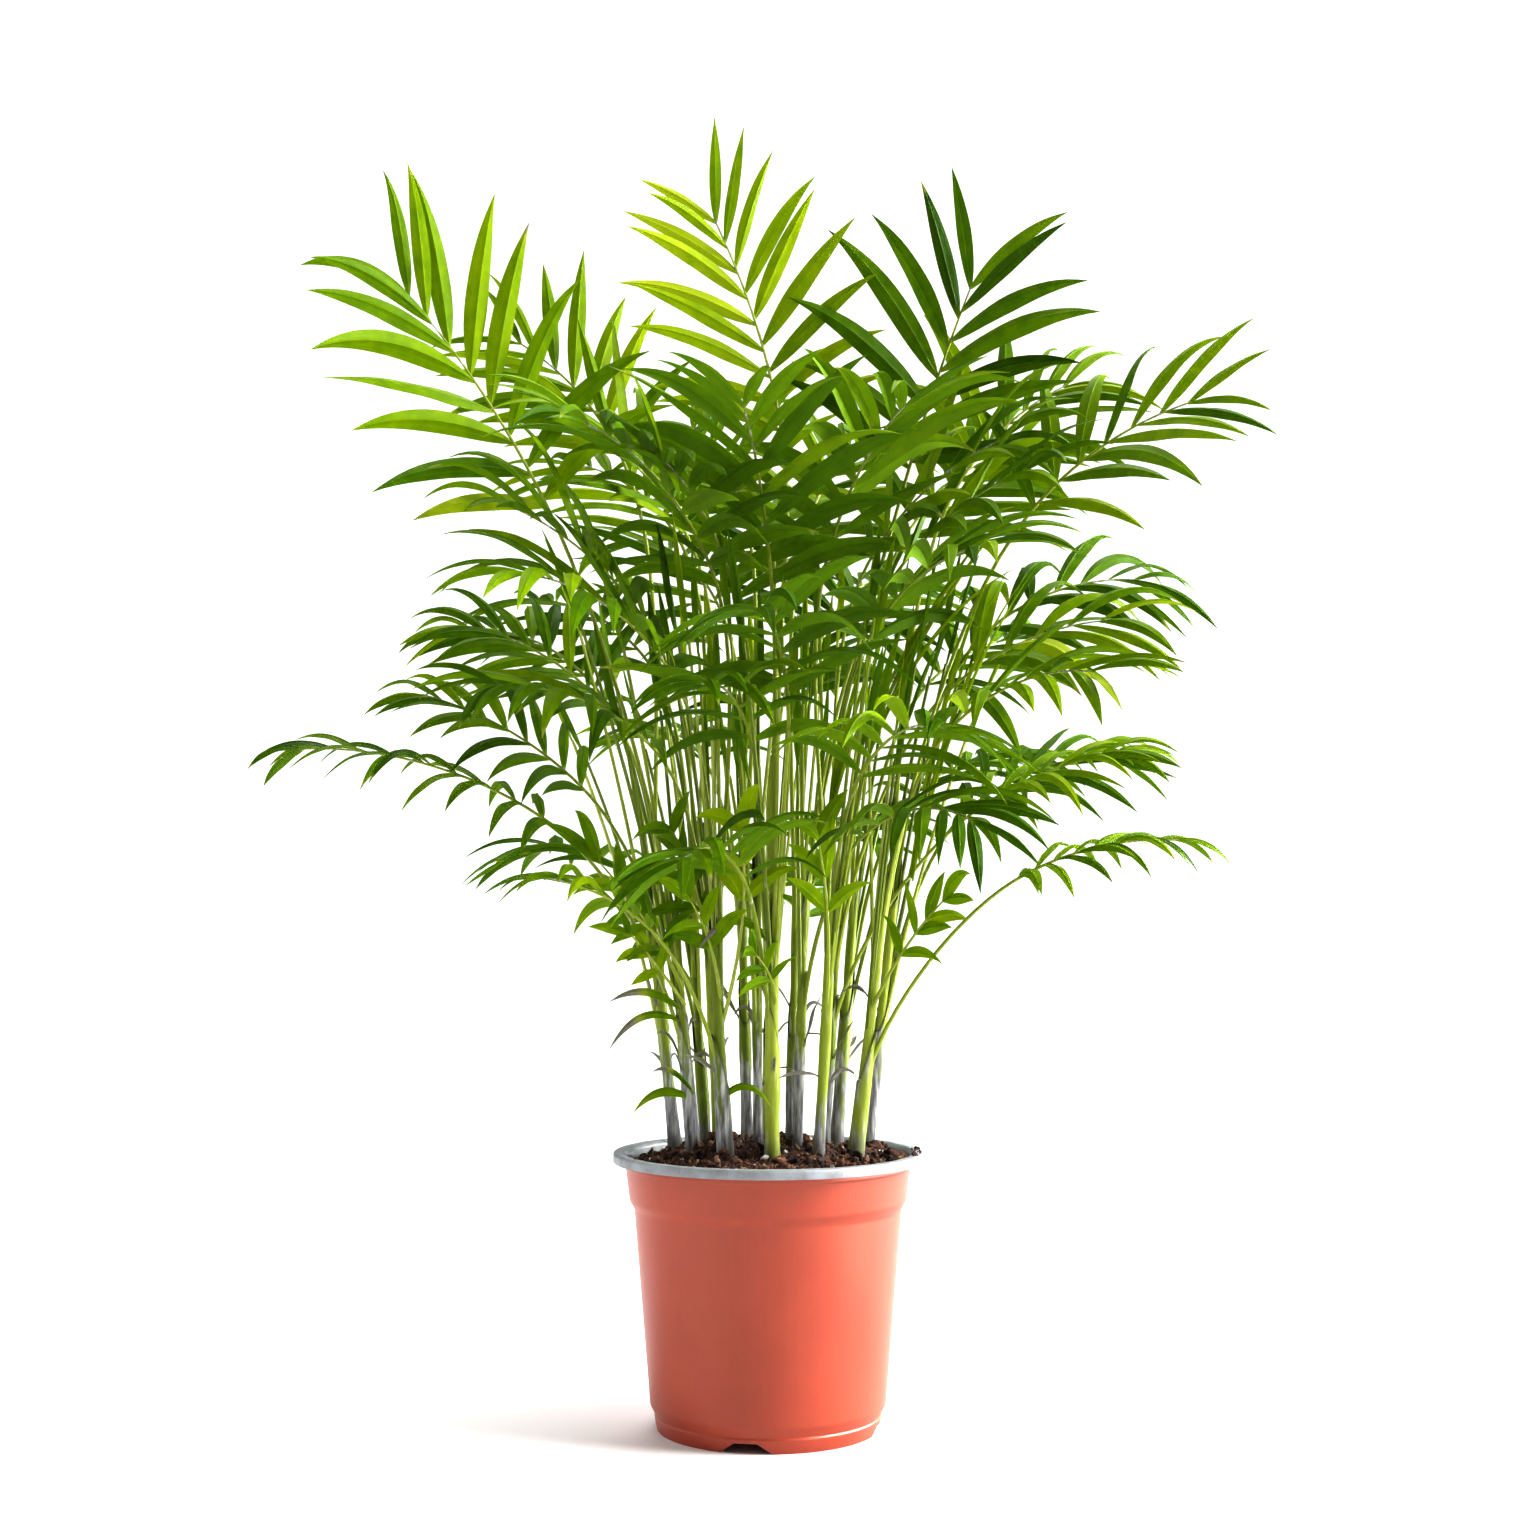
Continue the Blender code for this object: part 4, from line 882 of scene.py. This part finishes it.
class Frond:
    """The axis of one frond, from its fork inside the stem to the tip of its rib."""

    def __init__(self, number, row):
        palm, fork, start, tip, leaf, limp, turn = row
        self.number, self.palm = number, palm - 1
        self.stem = stems[self.palm]
        self.foot = self.stem.middle(fork * MM)
        self.start, self.tip = vector_mm(*start), vector_mm(*tip)
        self.leaf, self.limp, self.turn = leaf * MM, limp, math.radians(turn)
        rib = self.rib_length()
        self.solid_pairs = SOLID_PAIRS_LONG if rib > LONG_RIB else SOLID_PAIRS_SHORT
        wanted = round(rib / (self.leaf * PAIR_EVERY)) + 1
        self.pairs = max(FEWEST_PAIRS, min(MOST_PAIRS, wanted))
        self.lay_out()

    def rib_length(self):
        return (self.tip - self.start).length

    def lay_out(self):
        rise, chord = self.start - self.foot, self.tip - self.start
        self.outward = Vector((chord.x, chord.y, 0)).normalized()
        through = (rise.normalized() + chord.normalized() * TO_RIB).normalized()
        onward = chord.normalized()
        self.leave = self.stem.axis * rise.length * PETIOLE_LEAVE
        self.through_petiole = through * rise.length * PETIOLE_ARRIVE
        self.through_rib = through * chord.length
        self.arrive = (onward * (2 * through.dot(onward)) - through) * chord.length

    def moved(self, shift):
        """The same frond with its blade shifted, to lead its petiole past a neighbour."""
        other = Frond.__new__(Frond)
        other.__dict__.update(self.__dict__)
        other.start, other.tip = self.start + shift, self.tip + shift * TIP_SHIFT
        other.lay_out()
        return other

    def facing(self, along, turn):
        """Upper side of the blade: square to the axis, turned about it."""
        back = UP * BLADE_BACK - self.outward
        face = (back - along * back.dot(along)).normalized()
        return Matrix.Rotation(turn, 3, along) @ face

    def on_petiole(self, share):
        point, along = hermite(self.foot, self.start, self.leave, self.through_petiole, share)
        return point, along, self.facing(along, self.turn * smooth_step(share))

    def on_rib(self, share):
        point, along = hermite(self.start, self.tip, self.through_rib, self.arrive, share)
        return point, along, self.facing(along, self.turn)

    def pair_share(self, pair, pairs, step=0.0):
        """Place of a pair of leaflets as a share of the rib. The last pair ends it."""
        half = ROOT_HALF / self.rib_length()
        return 2 * half + (1 - 3 * half) * min(pair + step, pairs - 1) / (pairs - 1)

    def rings(self, grow=0.0):
        """Square cross-sections of the solid's petiole and rib, to lead it past its neighbours."""
        stations = []
        for step in range(PETIOLE_STEPS + 1):
            share = step / PETIOLE_STEPS
            half = PETIOLE_HALF + (RIB_START_HALF - PETIOLE_HALF) * share
            stations.append((*self.on_petiole(share), half))
        for pair in range(self.solid_pairs):
            for end in (-1, 1):
                share = self.pair_share(pair, self.solid_pairs) + end * ROOT_HALF / self.rib_length()
                half = RIB_START_HALF + (RIB_TIP_HALF - RIB_START_HALF) * share
                stations.append((*self.on_rib(share), half))
        return [square_ring(point, along, face, half + grow) for point, along, face, half in stations]


def square_ring(point, along, face, half):
    across = along.cross(face).normalized()
    return [point + across * half * a + face * half * b for a, b in ((1, 1), (-1, 1), (-1, -1), (1, -1))]


def sagging(point, heading, upper, length, limp):
    """Points, directions and upper sides along a leaflet that bends down under its weight."""
    points, alongs, uppers = [], [], []
    for step in range(LEAF_STEPS + 1):
        along = (heading - UP * limp * (step / LEAF_STEPS) ** SAG_POWER).normalized()
        upper = (upper - along * upper.dot(along)).normalized()
        points.append(tuple(point))
        alongs.append(tuple(along))
        uppers.append(tuple(upper))
        point = point + along * length / LEAF_STEPS
    return np.array(points), np.array(alongs), np.array(uppers)


def leaf_angle(share):
    """Angle between the rib and a leaflet at a share of the rib's length."""
    return BASE_ANGLE + (TIP_ANGLE - BASE_ANGLE) * share


def lance(shares):
    """Half-width of a leaflet at shares of its length, against its greatest."""
    shape = (shares + 0.012) ** 0.78 * (1 - shares) ** 1.04
    return shape / shape.max()


def add_blade(mass, spine, half, twist, fold, tone, dry=0.0, dry_span=None, wave=0.0, phase=0.0):
    """A thin closed blade along a spine, dry all over or, with dry_span, from one share to another."""
    points, alongs, uppers = spine
    shares = np.linspace(0, 1, len(points))
    asides = np.cross(alongs, uppers)
    turn = (twist * shares)[:, None]
    across = asides * np.cos(turn) + uppers * np.sin(turn)
    upward = uppers * np.cos(turn) - asides * np.sin(turn)
    wide = np.maximum(half * lance(shares), np.where(shares < 0.5, ROOT_WIDE, TIP_WIDE))
    flat = np.minimum(1, wide / FULL_WIDE)[:, None]
    ripple = np.sin(2 * math.pi * WAVES * shares[:, None] + phase + WAVE_LAG * np.sign(ACROSS))
    lift = NERVES * flat - fold * np.abs(ACROSS) * wide[:, None]
    lift = lift + wave * wide[:, None] * ACROSS**2 * ripple
    thick = BLADE_EDGE + (BLADE_THICK - BLADE_EDGE) * (1 - np.abs(ACROSS))
    thick = thick * np.maximum(flat, LEAST_THICK)
    sideways = points[:, None] + across[:, None] * (ACROSS * wide[:, None])[:, :, None]
    top = sideways + upward[:, None] * (lift + thick / 2)[:, :, None]
    under = sideways + upward[:, None] * (lift - thick / 2)[:, :, None]
    rings = np.concatenate((top, under[:, ::-1]), 1)
    marks = {
        "across": np.concatenate((ACROSS, ACROSS[::-1]))[None],
        "along": shares[:, None],
        "under": np.concatenate((ACROSS * 0, ACROSS * 0 + 1))[None],
        "dry": dry * fade(shares[:, None], *dry_span) if dry_span else dry,
    }
    mass.loft(rings, look=0, tone=tone, **marks)


class Leaflet:
    """One leaflet of a frond."""

    def __init__(self, frond, pair, side):
        share = frond.pair_share(pair, frond.pairs, SIDE_STEP if side > 0 else 0)
        self.root, self.along, self.face = frond.on_rib(share)
        self.side, self.across = side, self.along.cross(self.face).normalized() * side
        draw = random.Random(frond.number * 100 + pair * 2 + max(0, side))
        swing, lift, lengthen, sag, roll, twist = (draw.gauss(0, 0.8) * most for most in STRAY)
        self.angle = leaf_angle(share) + swing
        self.length = frond.leaf * (1 - SHORTENING * (share - LONGEST_AT) ** 2) * (1 + lengthen)
        width_share = END_WIDTH_SHARE if pair == frond.pairs - 1 else WIDTH_SHARE
        self.half = max(self.length * width_share - NARROWER, LEAST_WIDTH) / 2
        self.lift, self.limp = LEAFLET_LIFT + lift, frond.limp * max(LEAST_SAG, 1 + sag)
        self.roll, self.twist = roll, twist

    def varied(self, swing, lift, shrink):
        """A copy that is swung and lifted by degrees and shortened, to clear its neighbours."""
        other = Leaflet.__new__(Leaflet)
        other.__dict__.update(self.__dict__)
        other.angle += math.radians(swing)
        other.lift += math.radians(lift)
        other.length *= shrink
        return other

    def spine(self):
        flat = self.along * math.cos(self.angle) + self.across * math.sin(self.angle)
        heading = flat * math.cos(self.lift) + self.face * math.sin(self.lift)
        face = Matrix.Rotation(self.roll, 3, heading) @ self.face
        return sagging(self.root, heading, face, self.length, self.limp)

    def envelope(self, first, grow=CLEARANCE):
        """Box cross-sections that stay clear outside the leaflet, from a step of its spine."""
        points, alongs, uppers = self.spine()
        asides = np.cross(alongs, uppers)
        steps = [first, 3, 6, 9, 12, LEAF_STEPS]
        wide = self.half * lance(np.array(steps) / LEAF_STEPS) + grow
        deep = wide * (FOLD + abs(math.sin(self.twist))) / 2 + grow
        rings = []
        for step, half, low in zip(steps, wide, deep):
            point, aside, upper = points[step], asides[step] * half, uppers[step]
            corners = ((1, grow), (1, -low), (-1, -low), (-1, grow))
            rings.append([point + aside * a + upper * b for a, b in corners])
        return rings


class Neighbours:
    """What is placed so far, by owner, for tests of whether a new piece would cross it."""

    MOST = 4000

    def __init__(self):
        self.placed = []
        self.low, self.high = np.zeros((self.MOST, 3)), np.zeros((self.MOST, 3))

    @staticmethod
    def tree(rings):
        """Search tree and box of a piece, in millimetres, at which scale the overlap test is sound."""
        rings = np.array([[tuple(corner) for corner in ring] for ring in rings]) / MM
        many, corners = rings.shape[:2]
        flat, faces = rings.reshape(-1, 3), []
        for ring in range(many - 1):
            for j in range(corners):
                k = (j + 1) % corners
                low, high = ring * corners, (ring + 1) * corners
                faces += [(low + j, low + k, high + k), (low + j, high + k, high + j)]
        for start in (0, (many - 1) * corners):
            faces += [(start, start + j, start + j + 1) for j in range(1, corners - 1)]
        return BVHTree.FromPolygons(flat.tolist(), faces), flat.min(0), flat.max(0)

    def add(self, owner, rings):
        tree, low, high = self.tree(rings)
        self.low[len(self.placed)], self.high[len(self.placed)] = low, high
        self.placed.append((owner, tree))

    def clear(self, rings, own):
        """Whether the piece crosses nothing but pieces whose owner starts with its own."""
        tree, low, high = self.tree(rings)
        count = len(self.placed)
        near = np.all((self.low[:count] <= high) & (self.high[:count] >= low), 1)
        for number in np.flatnonzero(near):
            owner, other = self.placed[number]
            if owner[:len(own)] != own and tree.overlap(other):
                return False
        return True


def shifts():
    """Sideways shifts to try, nearest first: none, then rings of eight."""
    yield Vector((0, 0, 0))
    for reach in SHIFTS_MM:
        for turn in range(8):
            angle = turn * math.pi / 4
            yield vector_mm(reach * math.cos(angle), reach * math.sin(angle), 0)


def leaflet_changes():
    """Swing, lift and shortening to try, mildest first."""
    yield 0, 0, 1.0
    for bend in BENDS_DEG:
        for swing, lift in ((0, 1), (1, 0), (0, -1), (-1, 0), (1, 1), (-1, -1), (1, -1), (-1, 1)):
            yield swing * bend, lift * bend, 1.0
            yield swing * bend, lift * bend, SLIGHTLY_SHORTER
    for shrink in SHORTER:
        for swing, lift in ((0, 0), (0, 1), (1, 0), (-1, 0), (0, -1)):
            yield swing * SHORT_BEND_DEG, lift * SHORT_BEND_DEG, shrink


def place_fronds(neighbours):
    """Lays out every petiole and rib as on the solids, each led past those of other palms."""
    fronds = []
    for number, row in enumerate(FRONDS):
        wanted = Frond(number, row)
        for shift in shifts():
            frond = wanted.moved(shift)
            if neighbours.clear(frond.rings(SOLID_CLEARANCE), (frond.palm,)):
                break
        neighbours.add((frond.palm, number, "rib"), frond.rings())
        fronds.append(frond)
    return fronds


def place_leaflets(frond, neighbours):
    """Sets leaflets in pairs along the rib, each bent clear of its neighbours or left out."""
    kept, own = [], (frond.palm, frond.number)
    for pair in range(frond.pairs):
        for side in (-1, 1):
            wanted = Leaflet(frond, pair, side)
            for change in leaflet_changes():
                leaflet = wanted.varied(*change)
                if not neighbours.clear(leaflet.envelope(0), own):
                    continue
                if neighbours.clear(leaflet.envelope(1), own + ("rib",)):
                    kept.append(leaflet)
                    neighbours.add(own + ("leaflet",), leaflet.envelope(0, 0.1 * MM))
                    break
    return kept


def on_side(frond):
    """Height at which a petiole has come out through the side of its stem."""
    for share in np.linspace(0, 1, PETIOLE_PLACES):
        point = frond.on_petiole(share)[0]
        if (point - frond.stem.middle(point.z)).length > frond.stem.slim(point.z) + OUT_OF_STEM:
            return point.z
    return frond.foot.z


def dryness(heights, up_to):
    """How papery a stem is at heights."""
    return 1 - fade(heights / MM, up_to - DRY_SPREAD, up_to + DRY_SPREAD)


def darkness(heights):
    """A stem is dark where it comes out of the soil."""
    return DARK_FOOT * (1 - fade(heights / MM, *DARK_UP_TO))


def add_stem(mass, stem, tone, up_to):
    """The stem itself, closed by a blunt end."""
    heights = np.linspace(stem.foot.z, stem.top.z, STEM_RINGS)
    points = [stem.middle(height) for height in heights]
    share = (heights - stem.foot.z) / (stem.top.z - stem.foot.z)
    radii = np.array([stem.slim(height) for height in heights])
    radii *= np.sqrt(np.clip((1 - share) / STEM_BLUNT, STEM_END, 1))
    alongs, uppers = [stem.axis] * len(points), [stem.side] * len(points)
    rings = tube(points, alongs, uppers, radii, radii, STEM_CORNERS)
    dry, dark = dryness(heights, up_to)[:, None], darkness(heights)[:, None]
    mass.loft(rings, look=1, tone=tone, dry=dry, under=dark)


def add_sheath(mass, frond, layer, tone, up_to, draw):
    """The sheath of one petiole: a thin cup round the stem with a slanting mouth, dark with painted
    shade.
    """
    stem, mouth = frond.stem, on_side(frond)
    base = max(stem.foot.z, mouth - draw.uniform(*SHEATH_BELOW) * MM)
    bend = frond.on_petiole(SHEATH_FACES)[0]
    out = bend - stem.middle(bend.z)
    out = (out - stem.axis * out.dot(stem.axis)).normalized()
    aside = stem.axis.cross(out)
    turns = np.arange(SHEATH_CORNERS) * 2 * math.pi / SHEATH_CORNERS
    facing = (0.5 + 0.5 * np.cos(turns)) ** SHEATH_SLANT
    tops = mouth - draw.uniform(*SHEATH_CUT) * MM + (draw.uniform(*SHEATH_LIP) * MM) * facing
    swell = (SHEATH_SWELL + SHEATH_LAYER * layer) * MM
    outside = [(level, False) for level in np.linspace(0, 1, SHEATH_RINGS)]
    rings, dark, levels = [], [], []
    for level, inner in outside + [(level, True) for level in SHEATH_INSIDE]:
        heights = base + (tops - base) * level
        ring = []
        for turn, height in zip(turns, heights):
            wide = stem.slim(height) + swell * smooth_step(min(1.0, level * 2)) - SHEATH_SUNK
            wide += SHEATH_FLARE * MM * max(0.0, math.cos(turn)) * level**3 - inner * SHEATH_WALL * MM
            spoke = out * math.cos(turn) + aside * math.sin(turn)
            ring.append(tuple(stem.middle(height) + spoke * wide))
        rings.append(ring)
        levels.append(heights)
        # The top of the outside and the whole inside of the cup get painted shade, for the gap round the
        # stem
        dark.append(MOUTH_PAINTED_SHADE if level > MOUTH_FROM or inner else 0.0)
    levels, dark = np.array(levels), np.array(dark)[:, None]
    edge = EDGE_DRY * fade(levels, tops - SHEATH_EDGE, tops)
    dry = dryness(levels, up_to) + edge * draw.uniform(0, 1)
    mass.loft(rings, look=1, tone=tone, dry=dry, under=np.maximum(dark, darkness(levels)))


def rib_tone(tone):
    """Ribs are lighter than their leaflets."""
    return 0.35 + 0.6 * tone


def add_petiole(mass, frond, tone, draw):
    """Petiole and rib in one tube that thins to the tip of the rib."""
    shares = np.linspace(0, 1, PETIOLE_RINGS)
    stations = [frond.on_petiole(share) for share in shares]
    stations += [frond.on_rib(share) for share in shares[1:]]
    swell = PETIOLE_SWELL * np.clip(1 - shares / SWELL_SHARE, 0, 1) ** 2
    start, middle, point = PETIOLE_RADII
    wide = start + (middle - start) * shares + swell
    thin = middle + (point - middle) * shares[1:]
    wide = np.concatenate((wide, thin))
    points, alongs, uppers = zip(*stations)
    rings = tube(points, alongs, uppers, wide, wide * PETIOLE_FLAT, PETIOLE_CORNERS)
    far = np.linspace(0, 1, len(wide))
    dry = RIB_DRY * fade(far, 0.6, 1.0) + draw.uniform(-0.1, 0.1)
    mass.loft(rings, look=1, tone=tone, dry=dry[:, None])


def add_leaflet(mass, leaflet, tone, draw):
    fold = FOLD * draw.uniform(*FOLD_SPREAD)
    phase = draw.uniform(0, 6)
    tip_dry = draw.uniform(*TIP_DRYNESS) if draw.random() < DRY_TIPS else 0
    tone += draw.gauss(0, 0.7) * TONE_SPREAD
    shape = leaflet.spine(), leaflet.half, leaflet.twist, fold
    add_blade(mass, *shape, tone, tip_dry, (TIP_FROM, 1.0), WAVE, phase)


def in_mm(*places):
    """Places in metres as rows in millimetres, like those of the tables."""
    return [tuple(place / MM) for place in places]


def bowed(start, control, end, back=None):
    """A spine on a bow from start to end that leans to control. Its upper side looks to back."""
    shares = np.linspace(0, 1, LEAF_STEPS + 1)[:, None]
    start, control, end = (np.array(place) * MM for place in (start, control, end))
    points = start * (1 - shares) ** 2 + control * 2 * shares * (1 - shares) + end * shares**2
    alongs = np.gradient(points, axis=0)
    alongs /= np.linalg.norm(alongs, axis=1)[:, None]
    if back is None:
        outward = (end - start) * (1, 1, 0)
        back = np.array((0, 0, BLADE_BACK)) - outward / (np.linalg.norm(outward) + 1e-9)
    uppers = back - alongs * (alongs @ back)[:, None]
    uppers /= np.linalg.norm(uppers, axis=1)[:, None]
    return points, alongs, uppers


def add_spray(mass, start, control, end, pairs, first, length, half, tone, draw):
    """A short rib with small leaves in pairs that show their upper side to the front or the back."""
    back = (0, math.copysign(FRONT[1], start[1]), FRONT[2])
    spine = bowed(start, control, end, back)
    radii = np.linspace(*SPRAY_RIB, LEAF_STEPS + 1) * MM
    mass.loft(tube(*spine, radii, radii, THIN_CORNERS), look=1, tone=rib_tone(tone))
    for pair in range(pairs):
        share = first + (1 - first) * pair / (pairs - 1)
        point, along, upper = (Vector(rows[round(share * LEAF_STEPS)]) for rows in spine)
        across = along.cross(upper)
        for side in (-1, 1):
            angle = leaf_angle(share) + draw.gauss(0, SPRAY_SWING)
            heading = along * math.cos(angle) + across * side * math.sin(angle)
            heading = (heading + upper * draw.gauss(*SPRAY_LIFT)).normalized()
            long = length * draw.uniform(*SPRAY_LONG) * MM
            leaf = sagging(point, heading, upper, long, draw.uniform(*SPRAY_LIMP))
            wide = half * draw.uniform(*SPRAY_WIDE) * MM
            twist, fold = draw.gauss(0, SPRAY_TWIST), FOLD * draw.uniform(*SPRAY_FOLD)
            add_blade(mass, leaf, wide, twist, fold, tone + draw.gauss(0, SPRAY_TONE))


def add_cane(mass, stem, draw):
    """A thin petiole that rises beside a stem and ends in a young leaf, still folded."""
    start = stem.middle(draw.uniform(*CANE_FROM) * MM)
    lean, height = draw.uniform(*CANE_SPREAD), draw.uniform(*CANE_TO) * MM
    aside = Vector((draw.gauss(0, CANE_STRAY), draw.gauss(0, CANE_STRAY), 0)) * MM
    end = Vector((stem.foot.x * lean, stem.foot.y * lean, height)) + aside
    control = start.lerp(end, 0.5) - Vector((end.x - start.x, end.y - start.y, 0)) * CANE_BOW
    spine = bowed(*in_mm(start, control, end))
    radii = np.linspace(*CANE_THINS, LEAF_STEPS + 1) * CANE_RADIUS
    tone = draw.uniform(*CANE_TONES)
    mass.loft(tube(*spine, radii, radii, THIN_CORNERS), look=1, tone=tone)
    _, along, upper = (Vector(rows[-1]) for rows in spine)
    leaf = sagging(end, along, upper, draw.uniform(*CANE_LEAF), draw.uniform(*CANE_LIMP))
    half, twist = draw.uniform(*CANE_LEAF_HALF), draw.uniform(-CANE_TWIST, CANE_TWIST)
    add_blade(mass, leaf, half, twist, YOUNG_FOLD, tone)


def add_spear(mass, start, control, end, fan, tone, draw):
    """An unopened leaf: a few narrow folds that spread a little towards their tips."""
    for number in range(SPEAR_FOLDS):
        aside = number - (SPEAR_FOLDS - 1) / 2
        foot = (start[0] + SPEAR_FOOT_FAN * aside, start[1], start[2] - SPEAR_LOWER * draw.random())
        middle = (control[0] + SPEAR_MIDDLE_FAN * aside, control[1] - abs(aside), control[2])
        fall = fan * SPEAR_FALL * abs(aside)
        tip = (end[0] + fan * aside, end[1], end[2] - fall - draw.uniform(*SPEAR_SHORTER))
        half = SPEAR_HALF * draw.uniform(*SPEAR_WIDE) * MM
        twist, lighter = draw.uniform(-SPEAR_TWIST, SPEAR_TWIST), draw.uniform(*SPEAR_TONES)
        add_blade(mass, bowed(foot, middle, tip), half, twist, YOUNG_FOLD, tone + lighter)


def add_strip(mass, stem, draw):
    """A dry strip of an old sheath that stands off its stem."""
    height = draw.uniform(*STRIP_HEIGHTS) * MM
    turn = draw.uniform(0, 2 * math.pi)
    spoke = Vector((math.cos(turn), math.sin(turn), 0))
    start = stem.middle(height) + spoke * stem.slim(height)
    control = start + spoke * draw.uniform(*STRIP_OFF) * MM + UP * draw.uniform(*STRIP_RISE) * MM
    end = control + spoke * draw.uniform(*STRIP_REACH) * MM - UP * draw.uniform(*STRIP_HANG) * MM
    spine = bowed(*in_mm(start, control, end))
    half, twist = draw.uniform(*STRIP_HALF) * MM, draw.uniform(-STRIP_TWIST, STRIP_TWIST)
    add_blade(mass, spine, half, twist, STRIP_FOLD, STRIP_TONE, draw.uniform(*STRIP_DRY))


def add_extras(masses, draw):
    """What the palms have besides their fronds."""
    for palm, *spear in SPEARS:
        add_spear(masses[palm - 1], *spear, draw)
    for palm, *spray in SPRAYS:
        add_spray(masses[palm - 1], *spray, draw)
    for mass, stem in zip(masses, stems):
        for _ in range(CANES):
            add_cane(mass, stem, draw)
    for palm, start, control, end, half, tone, dry in SHOOTS:
        spine = bowed(start, control, end, FRONT)
        add_blade(masses[palm - 1], spine, half * MM, SHOOT_TWIST, SHOOT_FOLD, tone, dry, SHOOT_DRY)
    for mass, stem in zip(masses, stems):
        for _ in range(STRIPS):
            add_strip(mass, stem, draw)


def build_palms():
    neighbours = Neighbours()
    for number, stem in enumerate(stems):
        neighbours.add((number,), stem.rings())
    fronds = place_fronds(neighbours)
    masses = [Mass() for _ in stems]
    draw = random.Random(SEED)
    for stem in stems:
        stem.girth = draw.uniform(*GIRTHS)
    ages = [(draw.uniform(*STEM_TONES), draw.uniform(*DRY_UP_TO)) for _ in stems]
    for mass, stem, age in zip(masses, stems, ages):
        add_stem(mass, stem, *age)
    layers = [0] * len(stems)
    for frond in fronds:
        layers[frond.palm] += 1
        layer = layers[frond.palm]
        usual = FROND_TONES[layer - 1] + draw.uniform(-FROND_STRAY, FROND_STRAY)
        tone = ODD_TONES.get(frond.number, usual)
        mass = masses[frond.palm]
        add_sheath(mass, frond, 4 - layer, *ages[frond.palm], draw)
        add_petiole(mass, frond, rib_tone(tone), draw)
        for leaflet in place_leaflets(frond, neighbours):
            add_leaflet(mass, leaflet, tone, draw)
    add_extras(masses, draw)
    looks = [leaf_look(), stalk_look()]
    for number, mass in enumerate(masses):
        palm = mass.build(f"parlor_palm_{number + 1:02d}", looks)
        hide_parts(f"palm_{number + 1:02d}")
        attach(palm, "root")


def build_panel():
    """A glow that nothing but a reflection shows."""
    panel = bmesh.new()
    bmesh.ops.create_circle(panel, cap_ends=True, segments=64, radius=PANEL_RADIUS)
    panel = add_object("softbox_panel", panel)
    panel.rotation_euler = (math.radians(90 - PANEL_HEIGHT), 0, math.radians(PANEL_SIDE))
    panel.location = PANEL_AIM + panel.rotation_euler.to_matrix() @ UP * PANEL_AWAY
    glow = Look("softbox_glow")
    glow.put(glow.shader.inputs["Base Color"], (0, 0, 0, 1))
    glow.put(glow.shader.inputs["Emission Color"], (1, 1, 1, 1))
    glow.put(glow.shader.inputs["Emission Strength"], PANEL_GLOW)
    glow.material.cycles.emission_sampling = "NONE"
    panel.data.materials.append(glow.material)
    panel.visible_camera = panel.visible_diffuse = False
    panel.visible_transmission = panel.visible_shadow = False


def build_camera():
    camera = bpy.data.cameras.new("camera")
    camera.lens, camera.sensor_width = LENS, SENSOR
    holder = put_in_scene("camera", camera)
    holder.location = CAMERA_PLACE
    holder.rotation_euler = (math.pi / 2 + CAMERA_PITCH, 0, 0)
    bpy.context.scene.camera = holder


def build_lights():
    for name, side, height, strength, wide in SOFT_LIGHTS:
        light = bpy.data.lights.new(name, "SUN")
        light.energy, light.angle = strength, math.radians(wide)
        lamp = put_in_scene(name, light)
        lamp.rotation_euler = (math.radians(90 - height), 0, math.radians(side))


def build_floor():
    floor = bmesh.new()
    bmesh.ops.create_circle(floor, cap_ends=True, segments=96, radius=FLOOR_RADIUS)
    floor = add_object("studio_floor", floor)
    paper = Look("white_paper")
    grain = paper.noise(0.4, 2)
    colour = paper.mix(paper.calc("MULTIPLY", grain, 0.03), FLOOR_WHITE, grey(0.8))
    floor.data.materials.append(paper.finish(colour, 0.9, paper.bump(grain, 0.1 * MM), 0.1))


def build_room():
    """An even light that is brighter to the camera than to the plant, and how the picture is exposed."""
    world = bpy.data.worlds.new("white_room")
    bpy.context.scene.world = world
    world.use_nodes = True
    nodes, links = world.node_tree.nodes, world.node_tree.links
    ray, level = nodes.new("ShaderNodeLightPath"), nodes.new("ShaderNodeMapRange")
    links.new(ray.outputs["Is Camera Ray"], level.inputs["Value"])
    level.inputs["To Min"].default_value = ROOM_LIGHT
    level.inputs["To Max"].default_value = BACKDROP_LIGHT
    nodes["Background"].inputs["Color"].default_value = (1, 1, 1, 1)
    links.new(level.outputs["Result"], nodes["Background"].inputs["Strength"])
    film = bpy.context.scene.view_settings
    film.view_transform, film.exposure, film.gamma = "Standard", EXPOSURE, GAMMA


stems = [Stem(*row) for row in STEMS]
build_camera()
build_lights()
build_floor()
build_panel()
build_room()
peat = soil_look()
made = [build_pot(), build_soil(peat), *build_grains(peat, perlite_look()), build_fibres(peat)]
for piece in made:
    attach(piece, "root")
build_palms()
